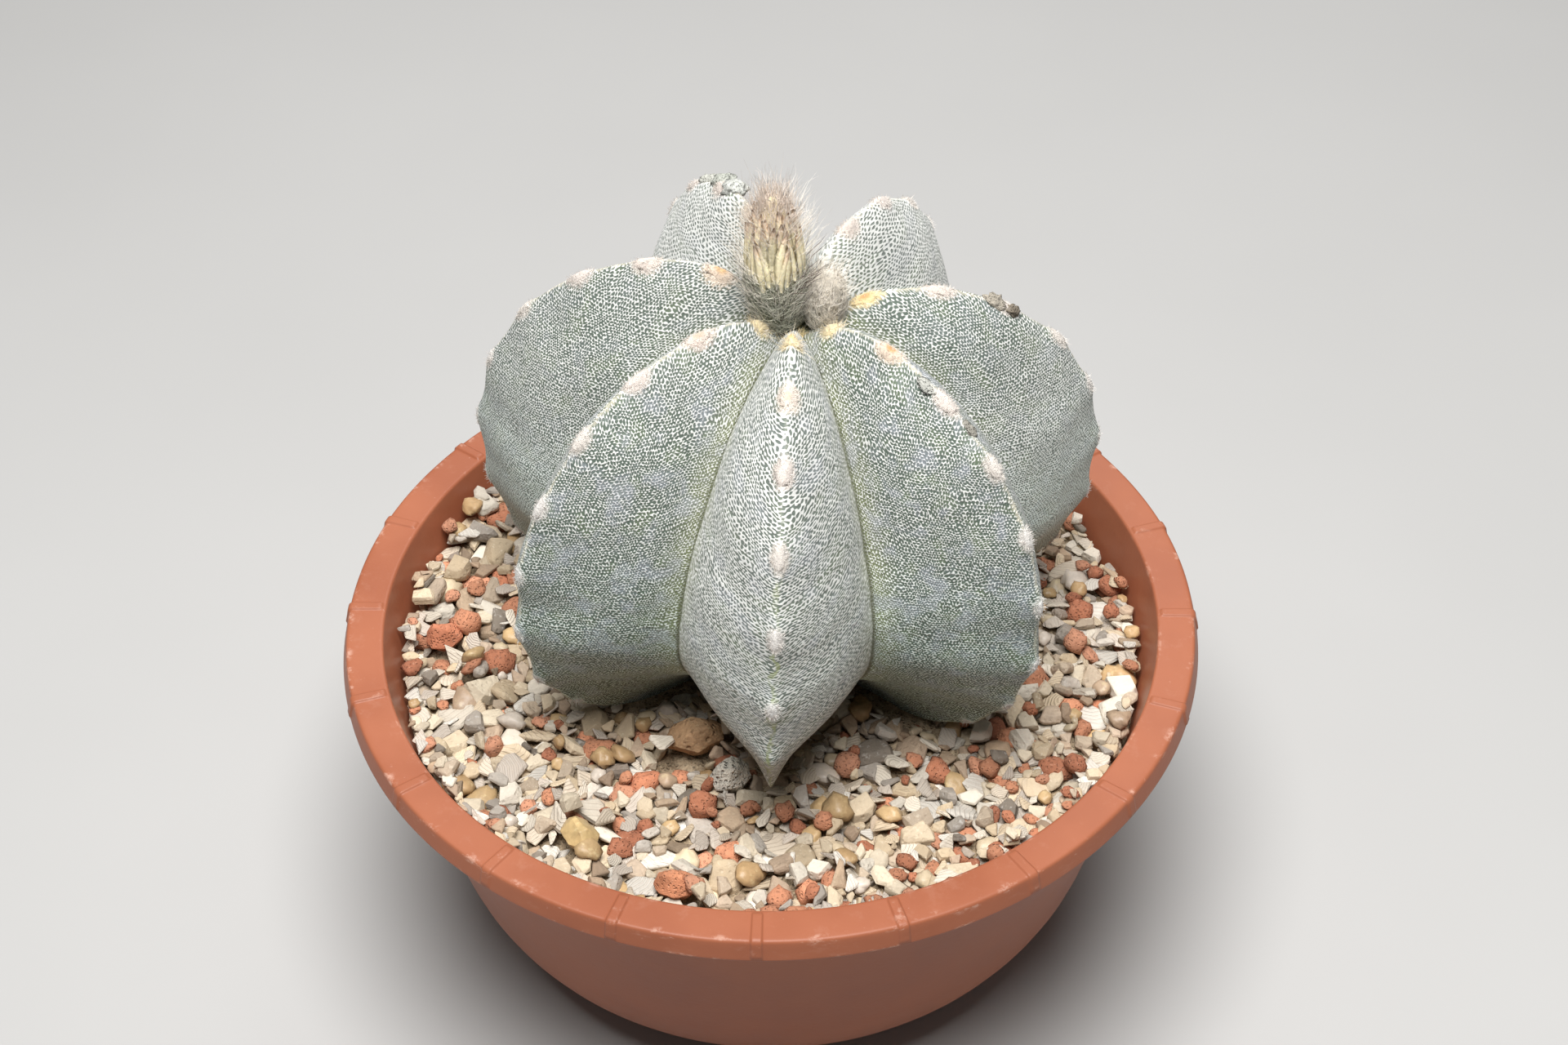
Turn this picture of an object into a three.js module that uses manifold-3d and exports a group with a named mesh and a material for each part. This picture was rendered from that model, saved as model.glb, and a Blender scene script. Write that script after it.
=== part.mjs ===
/**
 * A seven-ribbed cactus with two woolly flower buds, planted in a shallow moulded plastic bowl
 * and top-dressed with crushed shell, stone and clay. Millimetres, +Z up. The origin is the
 * centre of the bowl's flat base, and the photographed front looks towards -Y.
 */
import * as THREE from 'three';
import { ConvexGeometry } from 'three/addons/geometries/ConvexGeometry.js';
import { mergeVertices } from 'three/addons/utils/BufferGeometryUtils.js';
import Module from 'manifold-3d';

const wasm = await Module();
wasm.setup();

const CLEARANCE = 0.35; // between two pieces that rest against each other
const SEED = 7;
const STREAM = { stone: 100, bud: 1000 }; // keeps the random draws of the pieces apart
const WELD = 1e-4; // points nearer than this are one

// Bowl: a flat base, a large rounded corner, a straight tapering wall and a rim with a skirt
const BOWL = {
  height: 70,
  segments: 60,
  wall: 2.5,
  cornerCentre: 29.5, // radius of the ring on which the corner's arc is centred
  cornerRadius: 35,
  cornerSteps: 5,
  taper: THREE.MathUtils.degToRad(13.5),
};
const RIM = {
  radius: 78,
  innerRadius: 71.3,
  flare: 1.0, // how far the skirt leans out over its depth
  skirt: 4,
  thickness: 2,
  flange: 2.4,
  chamfer: 0.4,
};
const RIM_RIBS = { count: 20, width: 1.8, proud: 0.36, inset: 0.5, overhang: 0.3, root: 1 };
const DRAIN = { count: 6, radius: 2, ring: 18, sides: 8 };

// Filling: potting mix below, gravel above
const SOIL = { top: 53.6, segments: 30 };
const GRAVEL = {
  bottom: 53.9,
  top: 60.6,
  mound: { height: 3.2, spread: 42 }, // round the plant's foot
  bank: { x: -56, y: 40, height: 4.2, spread: 19 }, // heaped against the wall at the back left
  pitch: 7.2, // from one stone's middle to the next
  reach: 76, // how far the stones are laid before the bowl trims them
  // how far the rows of stones wander, over what distance, and how much that turns across them
  warp: { reach: 4.6, length: 31, skew: 0.6 },
  segments: 30,
  jitter: 0.27, // share of the pitch by which the corners stray
  cap: [0.6, 0.88], // share of a stone's outline that its upper face keeps
  rise: [0, 2.8],
  seam: -1.3, // depth of the joints between stones
  tilt: 0.28,
};

// Plant: a star of ribs that swell round a hub on a slightly leaning axis
const PLANT = {
  hub: 24, // height of the hub above the rim's top
  foot: { x: 2.0, y: 4.2, z: 62 },
  crown: { x: 5.0, y: 3.9, z: 134 },
  front: THREE.MathUtils.degToRad(-91.5),
  bands: [[81, -42, 30], [-42, -72, 3]], // from one elevation to another in so many rows
  bulge: 2.2, // how far a flank swells out of its plane
  fullBulge: 34, // distance from the axis from which it swells so far
  swellEnds: [0, -26], // elevations between which the swelling fades
  pinch: 1.4, // how far a flank is drawn in near the foot instead
  pinchGrows: [-2, -28],
};

// Each rib in turn, from the front one towards +X: its turn off the even star, its reach and
// height against the common outline, and the elevation of its first woolly cushion
const RIBS = [
  { turn: 0.4, reach: 1.0, height: 1.0, firstCushion: 73.5 },
  { turn: -1.7, reach: 1.0, height: 0.973, firstCushion: 79.5 },
  { turn: 0.3, reach: 0.986, height: 0.959, firstCushion: 75.5 },
  { turn: -0.7, reach: 1.0, height: 1.014, firstCushion: 83.0 },
  { turn: 2.2, reach: 1.01, height: 1.051, firstCushion: 71.0 },
  { turn: -0.4, reach: 1.016, height: 1.009, firstCushion: 75.0 },
  { turn: -0.2, reach: 0.98, height: 0.996, firstCushion: 81.0 },
];

// Outlines of crest and groove round the hub, as elevation in degrees and distance; the notches
// between the cushions deepen and end between the elevations given
const CREST = [[86, 40.8], [74, 49.8], [62, 53.6], [50, 56.0], [35, 58.3], [20, 59.1], [5, 58.4],
  [-10, 57.4], [-25, 54.4], [-34, 51.5], [-42, 48.7], [-50, 45.4], [-60, 41.6], [-72, 39.5]];
const GROOVE = [[86, 39.4], [75, 39.3], [60, 38.2], [45, 37.1], [28, 36.8], [10, 38.1], [-8, 38.9],
  [-22, 37.2], [-36, 33.6], [-50, 31.2], [-62, 31.0], [-72, 33.0]];
const TAPROOT = [[10.6, -17], [7, -34], [2.6, -46]]; // radius, height from the rim
const TAPROOT_TIP = -48.5;
const FLANK = [0.07, 0.36, 0.7]; // where the columns stand between crest and groove
const CUSHION = { spacing: 13.7, halfLength: 2.9, height: 1.3, shoulder: 0.5, last: -24 };
const SCALLOP = { depth: 0.7, deepen: [60, -10], end: [-22, -40] };

// How an uneven stone is drawn: points round its waist and above and below it, as shares of size
const STONE_SHAPE = {
  around: 8, caps: 4, uneven: 0.5, waist: [0.42, 0.52], wander: 0.3, cap: [0.16, 0.28], lift: 0.22,
};

// Larger stones that lie in the gravel, with their length, width, height and turn
const STONES = [
  { name: 'brown_stone', at: [-12.9, -26.8], size: [13.5, 9, 6.5], turn: 0.1, color: 0x8a6b50 },
  { name: 'speckled_stone', at: [-6.3, -36.2], size: [8.6, 7.4, 7], turn: 0.6, color: 0x8c8a83 },
  { name: 'yellow_pebble', at: [-32, -49.2], size: [10, 7, 6], turn: -0.9, color: 0xb99f5c },
  { name: 'front_clay_lump', at: [-14.6, -60.2], size: [9, 6.4, 6], turn: -0.2, color: 0xb0542f },
  { name: 'left_clay_lump', at: [-61.0, -0.9], size: [8.4, 6.6, 6], turn: 0.2, color: 0xb8593a },
];

// Flower buds, with the places of foot and tip, the shares of their half-width by height, and
// the azimuth of the neighbouring bud with the share of the height up to which it stands there
const BUDS = [
  {
    name: 'flower_bud', foot: [2.4, 3.9, 133.6], tip: [1.6, 3.7, 160], radius: 4.8,
    outline: [[0, 0.5], [0.12, 0.86], [0.45, 1], [0.75, 0.74], [0.92, 0.4]],
    needles: 52, length: [6.5, 10], splay: 0.34, color: 0xbfae82,
    neighbour: 0, beside: 0.55,
  },
  {
    name: 'second_bud', foot: [9.7, 3.9, 133.4], tip: [11, 4.1, 145], radius: 3.2,
    outline: [[0, 0.5], [0.2, 0.9], [0.5, 1], [0.85, 0.6]],
    needles: 18, length: [3.6, 5], splay: 0.3, color: 0x9a968c,
    neighbour: Math.PI, beside: 1,
  },
];
const NEEDLE = { width: 0.62, flatness: 0.55, sunk: 1.4, sides: 3 };
const BUD = {
  sides: 8,
  rows: [0.12, 0.98], // share of the height between which needles stand
  seat: 0.96, // share of the half-width at which they leave the core
  spread: [0.7, 1.3], // how much the splay varies from one to the next
  close: 0.75, // how much less they splay, and how much shorter they are, at the tip
  shorten: 0.35,
  besideCosine: 0.3, // how squarely a needle must face the other bud to be left out
};
const GOLDEN_ANGLE = Math.PI * (3 - Math.sqrt(5));

// Colour and roughness of the pieces that are made one by one
const FINISH = {
  bowl: [0xb5603f, 0.5],
  soil: [0x4a382b, 0.95],
  gravel: [0xd2c6b0, 0.85],
  skin: [0x9aa89a, 0.8],
  stoneRoughness: 0.85,
  budRoughness: 0.9,
};

/** Repeatable random numbers from 0 to 1. */
function seededRandom(seed) {
  let state = seed;
  return () => {
    state = (state + 0x6d2b79f5) | 0;
    let t = Math.imul(state ^ (state >>> 15), 1 | state);
    t = (t + Math.imul(t ^ (t >>> 7), 61 | t)) ^ t;
    return ((t ^ (t >>> 14)) >>> 0) / 4294967296;
  };
}

/** Turns a closed three.js geometry into a solid that can be joined and cut. */
function toSolid(source) {
  const geometry = source.index ? source.clone() : source;
  geometry.deleteAttribute('normal');
  geometry.deleteAttribute('uv');
  const merged = mergeVertices(geometry, WELD);
  return new wasm.Manifold(new wasm.Mesh({
    numProp: 3,
    vertProperties: Float32Array.from(merged.attributes.position.array),
    triVerts: Uint32Array.from(merged.index.array),
  }));
}

/** The largest single body of a solid, so that a cut leaves no scraps. */
function mainBody(solid) {
  return solid.decompose().reduce((a, b) => (b.volume() > a.volume() ? b : a));
}

/** A named mesh of a solid, with its own material. */
function meshOf(name, solid, color, roughness) {
  const { vertProperties, triVerts } = solid.getMesh();
  const geometry = new THREE.BufferGeometry();
  geometry.setAttribute('position', new THREE.BufferAttribute(vertProperties, 3));
  geometry.setIndex(new THREE.BufferAttribute(triVerts, 1));
  geometry.computeVertexNormals();
  const material = new THREE.MeshStandardMaterial({ color, roughness, metalness: 0 });
  const mesh = new THREE.Mesh(geometry, material);
  mesh.name = name;
  return mesh;
}

/** A closed solid of revolution about Z from [radius, height] points that start and end on it. */
function revolve(points, segments) {
  const outline = points.map(([r, z]) => new THREE.Vector2(r, z));
  return toSolid(new THREE.LatheGeometry(outline, segments).rotateX(Math.PI / 2));
}

/** Radius of the bowl's straight wall at a height, inset along the wall's normal. */
function wallRadius(height, inset) {
  const { cornerCentre, cornerRadius, taper } = BOWL;
  const touch = cornerCentre + (cornerRadius - inset) * Math.cos(taper);
  const touchHeight = cornerRadius - (cornerRadius - inset) * Math.sin(taper);
  return touch + (height - touchHeight) * Math.tan(taper);
}

/** The bowl's outline from the axis up to a height, inset along its normal. */
function bowlOutline(inset, height) {
  const { cornerCentre, cornerRadius, cornerSteps, taper } = BOWL;
  const points = [[0, inset]];
  const sweep = Math.PI / 2 - taper;
  for (let i = 0; i <= cornerSteps; i += 1) {
    const angle = (sweep * i) / cornerSteps;
    const radius = cornerRadius - inset;
    points.push([cornerCentre + radius * Math.sin(angle), cornerRadius - radius * Math.cos(angle)]);
  }
  points.push([wallRadius(height, inset), height]);
  return points;
}

/** One raised rib across the rim's top and skirt, at +X. */
function rimRib() {
  const { proud, inset, overhang, root, width } = RIM_RIBS;
  const inner = RIM.innerRadius + inset;
  const outer = RIM.radius + RIM.flare + proud;
  const low = BOWL.height - RIM.skirt + overhang;
  const outline = new THREE.Shape([
    [inner, BOWL.height - root], [inner, BOWL.height + proud], [RIM.radius, BOWL.height + proud],
    [outer, low], [outer - root, low], [RIM.radius - root, BOWL.height - root],
  ].map(([r, z]) => new THREE.Vector2(r, z)));
  const rib = new THREE.ExtrudeGeometry(outline, { depth: width, bevelEnabled: false });
  rib.translate(0, 0, -width / 2).rotateX(Math.PI / 2);
  return toSolid(rib);
}

/** The bowl with its flanged rim, twenty rim ribs and small drain holes. */
function buildBowl() {
  const { height } = BOWL;
  const skirtLow = height - RIM.skirt;
  const skirtOuter = RIM.radius + RIM.flare;
  const flangeLow = height - RIM.flange;
  const lip = [
    [RIM.radius - RIM.thickness, flangeLow],
    [skirtOuter - RIM.thickness, skirtLow],
    [skirtOuter, skirtLow],
    [RIM.radius, height - RIM.chamfer],
    [RIM.radius - RIM.chamfer, height],
    [RIM.innerRadius + RIM.chamfer, height],
    [wallRadius(height - RIM.chamfer, BOWL.wall), height - RIM.chamfer],
  ];
  const inside = bowlOutline(BOWL.wall, height - RIM.chamfer).slice(0, -1).reverse();
  let bowl = revolve([...bowlOutline(0, flangeLow), ...lip, ...inside], BOWL.segments);
  const rib = rimRib();
  for (let i = 0; i < RIM_RIBS.count; i += 1) {
    bowl = bowl.add(rib.rotate([0, 0, (360 * i) / RIM_RIBS.count]));
  }
  const hole = new THREE.CylinderGeometry(DRAIN.radius, DRAIN.radius, BOWL.wall * 3, DRAIN.sides);
  const drill = toSolid(hole.rotateX(Math.PI / 2).translate(DRAIN.ring, 0, 0));
  for (let i = 0; i < DRAIN.count; i += 1) {
    bowl = bowl.subtract(drill.rotate([0, 0, (360 * (i + 0.5)) / DRAIN.count]));
  }
  return bowl;
}

/** A smooth curve through [elevation, distance] points, read at an elevation in degrees. */
function outlineReader(points) {
  return (elevation) => {
    const last = points.length - 1;
    let i = 1;
    while (i < last && points[i][0] > elevation) i += 1;
    const [p0, p1, p2, p3] = [i - 2, i - 1, i, i + 1].map((k) => points[Math.min(Math.max(k, 0), last)]);
    const t = THREE.MathUtils.clamp((p1[0] - elevation) / (p1[0] - p2[0]), 0, 1);
    const slope1 = ((p2[1] - p0[1]) / (p0[0] - p2[0])) * (p1[0] - p2[0]);
    const slope2 = ((p3[1] - p1[1]) / (p1[0] - p3[0])) * (p1[0] - p2[0]);
    const t2 = t * t;
    const t3 = t2 * t;
    return (2 * t3 - 3 * t2 + 1) * p1[1] + (t3 - 2 * t2 + t) * slope1
      + (3 * t2 - 2 * t3) * p2[1] + (t3 - t2) * slope2;
  };
}

const crestAt = outlineReader(CREST);
const grooveAt = outlineReader(GROOVE);

/** The point at a radius and azimuth from the plant's leaning axis, at a height over the rim. */
function plantPoint(radius, azimuth, overRim) {
  const z = BOWL.height + overRim;
  const { foot, crown } = PLANT;
  const lean = Math.max(0, (z - foot.z) / (crown.z - foot.z));
  return new THREE.Vector3(
    foot.x + (crown.x - foot.x) * lean + radius * Math.cos(azimuth),
    foot.y + (crown.y - foot.y) * lean + radius * Math.sin(azimuth),
    z,
  );
}

/** How near an elevation is to one of a rib's woolly cushions, from 0 to 1. */
function cushionShare(rib, elevation) {
  const index = Math.round((rib.firstCushion - elevation) / CUSHION.spacing);
  const centre = rib.firstCushion - index * CUSHION.spacing;
  if (centre < CUSHION.last) return 0;
  const off = Math.abs(elevation - centre) / CUSHION.halfLength;
  return off < 1 ? 1 - off * off : 0;
}

/** How far a rib's crest is notched in between its cushions at an elevation. */
function scallop(rib, elevation) {
  const phase = (2 * Math.PI * (rib.firstCushion - elevation)) / CUSHION.spacing;
  const { deepen, end, depth } = SCALLOP;
  const low = THREE.MathUtils.smoothstep(-elevation, -deepen[0], -deepen[1]);
  const above = THREE.MathUtils.smoothstep(elevation, end[1], end[0]);
  return (depth * low * above * (Math.cos(phase) - 1)) / 2;
}

/** How far a flank stands out of its plane: swollen above, drawn in near the foot. */
function flankSwell(elevation) {
  const { bulge, pinch, swellEnds, pinchGrows } = PLANT;
  const swollen = THREE.MathUtils.smoothstep(elevation, swellEnds[1], swellEnds[0]);
  const drawnIn = THREE.MathUtils.smoothstep(-elevation, -pinchGrows[0], -pinchGrows[1]);
  return bulge * swollen - pinch * drawnIn;
}

/** One ring of the plant's surface at an elevation, as columns from crest to crest. */
function plantRing(elevation, grow) {
  const angle = THREE.MathUtils.degToRad(elevation);
  const swell = flankSwell(elevation);
  const step = (2 * Math.PI) / RIBS.length;
  const azimuths = RIBS.map((rib, i) => PLANT.front + i * step + THREE.MathUtils.degToRad(rib.turn));
  const ring = [];
  RIBS.forEach((rib, i) => {
    const share = cushionShare(rib, elevation);
    const crest = (raise) => {
      const reach = rib.reach * (crestAt(elevation) + scallop(rib, elevation)) + grow + raise;
      const over = (PLANT.hub + reach * Math.sin(angle)) * rib.height;
      return plantPoint(reach * Math.cos(angle), azimuths[i], over);
    };
    const groove = (side) => {
      const next = azimuths[(i + side + RIBS.length) % RIBS.length];
      const turn = Math.atan2(Math.sin(next - azimuths[i]), Math.cos(next - azimuths[i]));
      const reach = grooveAt(elevation) + grow;
      return plantPoint(reach * Math.cos(angle), azimuths[i] + turn / 2, PLANT.hub + reach * Math.sin(angle));
    };
    const flank = (side) => FLANK.map((t, k) => {
      const raise = k === 0 ? share * CUSHION.height * CUSHION.shoulder : 0;
      return { point: crest(raise).lerp(groove(side), t), bulge: swell * 4 * t * (1 - t) };
    });
    ring.push(...flank(-1).reverse(), { point: crest(share * CUSHION.height), bulge: 0 });
    ring.push(...flank(1), { point: groove(1), bulge: 0 });
  });
  return ring;
}

/** Moves each flank out of its plane or into it, along the normal of the rings either side. */
function bulgeFlanks(rings) {
  const normal = (row, column) => {
    const count = rings[row].length;
    const at = (r, c) => rings[Math.min(Math.max(r, 0), rings.length - 1)][(c + count) % count].point;
    const down = at(row + 1, column).clone().sub(at(row - 1, column));
    const along = at(row, column + 1).clone().sub(at(row, column - 1));
    return down.cross(along).normalize();
  };
  return rings.map((ring, row) => ring.map(({ point, bulge }, column) => {
    const out = Math.hypot(point.x - PLANT.foot.x, point.y - PLANT.foot.y) / PLANT.fullBulge;
    return point.clone().addScaledVector(normal(row, column), bulge * Math.min(1, out));
  }));
}

/** A closed geometry from rings of points and a point at each end. */
function skin(rings, first, last) {
  const columns = rings[0].length;
  const points = [first, ...rings.flat(), last];
  const index = [];
  const at = (row, column) => 1 + row * columns + (column % columns);
  for (let c = 0; c < columns; c += 1) {
    index.push(0, at(0, c), at(0, c + 1));
    for (let r = 0; r < rings.length - 1; r += 1) {
      index.push(at(r, c), at(r + 1, c), at(r + 1, c + 1));
      index.push(at(r, c), at(r + 1, c + 1), at(r, c + 1));
    }
    index.push(points.length - 1, at(rings.length - 1, c + 1), at(rings.length - 1, c));
  }
  const geometry = new THREE.BufferGeometry().setFromPoints(points);
  geometry.setIndex(index);
  return geometry;
}

/** The whole plant with its buried neck and taproot, grown outwards by a clearance. */
function buildPlant(grow) {
  const highest = PLANT.bands[0][0];
  const rings = [plantRing(highest, grow)];
  PLANT.bands.forEach(([from, to, rows]) => {
    for (let i = 1; i <= rows; i += 1) rings.push(plantRing(from + ((to - from) * i) / rows, grow));
  });
  const body = bulgeFlanks(rings);
  const columns = body[0].length;
  TAPROOT.forEach(([radius, over]) => {
    body.push(Array.from({ length: columns }, (_, c) => {
      const azimuth = PLANT.front + (2 * Math.PI * (c - FLANK.length)) / columns;
      return plantPoint(radius + grow, azimuth, over);
    }));
  });
  const top = plantPoint(0, 0, PLANT.hub + grooveAt(highest) + grow);
  return toSolid(skin(body, top, plantPoint(0, 0, TAPROOT_TIP - grow)));
}

/** Height of the gravel's surface at a place, heaped against the wall on one side. */
function gravelHeight(x, y) {
  const { bank, mound, top } = GRAVEL;
  const off = Math.hypot(x - bank.x, y - bank.y) / bank.spread;
  const out = Math.hypot(x, y) / mound.spread;
  return top + bank.height * Math.exp(-0.5 * off * off) + mound.height * Math.exp(-0.5 * out * out);
}

/** A flaky stone: the hull of an uneven ring of points with a few above and below it. */
function stoneGeometry(random, [length, width, height]) {
  const { around, caps, uneven, waist, wander, cap } = STONE_SHAPE;
  const points = [];
  const add = (angle, reach, z) => points.push(
    new THREE.Vector3(length * reach * Math.cos(angle), width * reach * Math.sin(angle), z),
  );
  for (let i = 0; i < around; i += 1) {
    const angle = (2 * Math.PI * (i + uneven * random())) / around;
    add(angle, THREE.MathUtils.lerp(...waist, random()), height * wander * (random() - 0.5));
  }
  for (let i = 0; i < caps; i += 1) {
    const angle = (2 * Math.PI * (i + random())) / caps;
    const reach = THREE.MathUtils.lerp(...cap, random());
    add(angle, reach, height / 2);
    add(angle, reach, -height / 2);
  }
  return new ConvexGeometry(points);
}

/** A larger stone where it lies, with a margin added on every side. */
function buildStone(stone, order, margin) {
  const random = seededRandom(SEED + STREAM.stone * (order + 1));
  const size = stone.size.map((value) => value + 2 * margin);
  const [x, y] = stone.at;
  const lift = gravelHeight(x, y) + stone.size[2] * STONE_SHAPE.lift;
  return toSolid(stoneGeometry(random, size).rotateZ(stone.turn).translate(x, y, lift));
}

/** Closed sheet of stones: each has a tilted upper face that stands out of the low seams. */
function stoneSheet(random) {
  const { pitch, reach, jitter, warp, seam } = GRAVEL;
  const points = [];
  const index = [];
  const corners = new Map();
  const edges = new Map();
  const add = (x, y, z) => points.push(new THREE.Vector3(x, y, z)) - 1;
  const corner = (column, row) => {
    const key = `${column},${row}`;
    if (!corners.has(key)) {
      const stray = () => 2 * jitter * (random() - 0.5);
      const [u, v] = [pitch * (column + stray()), pitch * (row + stray())];
      const wave = (along, across) => (
        warp.reach * Math.sin((Math.PI * (along + warp.skew * across)) / warp.length)
      );
      const [x, y] = [u + wave(v, u), v + wave(u + warp.length, -v)];
      corners.set(key, add(x, y, gravelHeight(x, y) + seam));
    }
    return corners.get(key);
  };
  const face = (a, b, c) => {
    index.push(a, b, c);
    [[a, b], [b, c], [c, a]].forEach(([from, to]) => {
      if (!edges.delete(`${to},${from}`)) edges.set(`${from},${to}`, [from, to]);
    });
  };
  const count = Math.ceil(reach / pitch);
  for (let row = -count; row < count; row += 1) {
    for (let column = -count; column < count; column += 1) {
      if (Math.hypot(row + 0.5, column + 0.5) * pitch > reach) continue;
      const ring = [[0, 0], [1, 0], [1, 1], [0, 1]].map(([du, dv]) => corner(column + du, row + dv));
      const middle = new THREE.Vector3();
      ring.forEach((i) => middle.addScaledVector(points[i], 1 / ring.length));
      const rise = gravelHeight(middle.x, middle.y) + THREE.MathUtils.lerp(...GRAVEL.rise, random());
      const tilt = [random() - 0.5, random() - 0.5].map((value) => 2 * GRAVEL.tilt * value);
      const cap = ring.map((i) => {
        const share = THREE.MathUtils.lerp(...GRAVEL.cap, random());
        const [dx, dy] = [(points[i].x - middle.x) * share, (points[i].y - middle.y) * share];
        return add(middle.x + dx, middle.y + dy, rise + tilt[0] * dx + tilt[1] * dy);
      });
      ring.forEach((from, k) => {
        const next = (k + 1) % ring.length;
        face(from, ring[next], cap[next]);
        face(from, cap[next], cap[k]);
        if (k > 1) face(cap[0], cap[k - 1], cap[k]);
      });
    }
  }
  const below = add(0, 0, 0);
  [...edges.values()].forEach(([from, to]) => index.push(to, from, below));
  const geometry = new THREE.BufferGeometry().setFromPoints(points);
  geometry.setIndex(index);
  return geometry;
}

/** The gravel layer: a sheet of stones over a flat-bottomed bed, with room for what stands in it. */
function buildGravel(pocket) {
  const { bottom } = GRAVEL;
  const inset = BOWL.wall + CLEARANCE;
  const room = revolve([
    [0, bottom], [wallRadius(bottom, inset), bottom], [wallRadius(BOWL.height, inset), BOWL.height],
    [0, BOWL.height],
  ], GRAVEL.segments);
  return mainBody(toSolid(stoneSheet(seededRandom(SEED))).intersect(room).subtract(pocket));
}

/** Potting mix that fills the bowl below the gravel, with a plain hole for the root. */
function buildSoil(pocket) {
  const outline = bowlOutline(BOWL.wall + CLEARANCE, SOIL.top);
  return mainBody(revolve([...outline, [0, SOIL.top]], SOIL.segments).subtract(pocket));
}

/** A bud's slim core about Z, grown outwards by a margin. */
function budCore(bud, length, margin) {
  const points = [[0, -margin]];
  bud.outline.forEach(([share, width]) => points.push([bud.radius * width + margin, length * share]));
  points[1][1] = -margin;
  points.push([0, length + margin]);
  return revolve(points, BUD.sides);
}

/** A flattened three-sided needle from a point on a core, leaning out towards its tip. */
function needleSolid(from, direction, length) {
  const needle = new THREE.ConeGeometry(NEEDLE.width, length + NEEDLE.sunk, NEEDLE.sides);
  needle.scale(1, 1, NEEDLE.flatness).translate(0, (length - NEEDLE.sunk) / 2, 0);
  const outward = new THREE.Vector3(from.x, from.y, 0).normalize();
  const side = new THREE.Vector3().crossVectors(direction, outward).normalize();
  const face = new THREE.Vector3().crossVectors(side, direction).normalize();
  const turn = new THREE.Matrix4().makeBasis(side, direction, face).setPosition(from);
  return toSolid(needle.applyMatrix4(turn));
}

/** A woolly bud: its core set with rows of narrow scales and bristles that close over the tip. */
function buildBud(bud, order) {
  const random = seededRandom(SEED + STREAM.bud * (order + 1));
  const foot = new THREE.Vector3(...bud.foot);
  const axis = new THREE.Vector3(...bud.tip).sub(foot);
  const length = axis.length();
  const width = new THREE.SplineCurve(bud.outline.map(([share, w]) => new THREE.Vector2(share, w)));
  let head = budCore(bud, length, 0);
  for (let i = 0; i < bud.needles; i += 1) {
    const t = (i + 0.5) / bud.needles;
    const { x: share, y: half } = width.getPoint(THREE.MathUtils.lerp(...BUD.rows, t));
    const angle = i * GOLDEN_ANGLE;
    if (share < bud.beside && Math.cos(angle - bud.neighbour) > BUD.besideCosine) continue;
    const radius = bud.radius * half * BUD.seat;
    const from = new THREE.Vector3(radius * Math.cos(angle), radius * Math.sin(angle), length * share);
    const splay = bud.splay * THREE.MathUtils.lerp(...BUD.spread, random()) * (1 - BUD.close * t);
    const lean = new THREE.Vector3(Math.cos(angle) * splay, Math.sin(angle) * splay, 1).normalize();
    const reach = THREE.MathUtils.lerp(...bud.length, random()) * (1 - BUD.shorten * t);
    head = head.add(needleSolid(from, lean, reach));
  }
  return placeAlong(mainBody(head), foot, axis);
}

/** Stands a solid made about Z on a foot point, with its axis along a direction. */
function placeAlong(solid, foot, axis) {
  const turn = new THREE.Quaternion().setFromUnitVectors(
    new THREE.Vector3(0, 0, 1), axis.clone().normalize(),
  );
  const placed = new THREE.Matrix4().compose(foot, turn, new THREE.Vector3(1, 1, 1));
  return solid.transform(placed.elements);
}

/** The room that a bud's core needs, for the socket that it grows from. */
function budRoom(bud) {
  const foot = new THREE.Vector3(...bud.foot);
  const axis = new THREE.Vector3(...bud.tip).sub(foot);
  return placeAlong(budCore(bud, axis.length(), CLEARANCE), foot, axis);
}

const group = new THREE.Group();

const plantRoom = buildPlant(2 * CLEARANCE);
const stoneRoom = STONES.map((stone, i) => buildStone(stone, i, CLEARANCE)).reduce((a, b) => a.add(b));
const [mainRoom, secondRoom] = BUDS.map(budRoom);

const socketed = buildPlant(0).subtract(mainRoom).subtract(secondRoom);
const budTaken = [plantRoom, plantRoom.add(mainRoom)];

group.add(meshOf('bowl', buildBowl(), ...FINISH.bowl));
group.add(meshOf('potting_mix', buildSoil(plantRoom), ...FINISH.soil));
group.add(meshOf('gravel', buildGravel(plantRoom.add(stoneRoom)), ...FINISH.gravel));
STONES.forEach((stone, i) => {
  const solid = mainBody(buildStone(stone, i, 0).subtract(plantRoom));
  group.add(meshOf(stone.name, solid, stone.color, FINISH.stoneRoughness));
});
group.add(meshOf('cactus', mainBody(socketed), ...FINISH.skin));
BUDS.forEach((bud, i) => {
  const solid = mainBody(buildBud(bud, i).subtract(budTaken[i]));
  group.add(meshOf(bud.name, solid, bud.color, FINISH.budRoughness));
});

export default group;
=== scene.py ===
"""Looks of a star cactus in a gravelled plastic bowl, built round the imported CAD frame.

Shapes are worked out in millimetres in the CAD frame (+Z up, origin at the centre of the bowl's
base, front towards -Y) and become metres only when a mesh is made.
"""
import sys

import logging
import math
from dataclasses import dataclass, field
from enum import Enum
from typing import Callable, Sequence

import bmesh
import bpy
import numpy as np
from mathutils import Matrix, Vector, noise
from mathutils.bvhtree import BVHTree
from numpy.typing import NDArray


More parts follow.
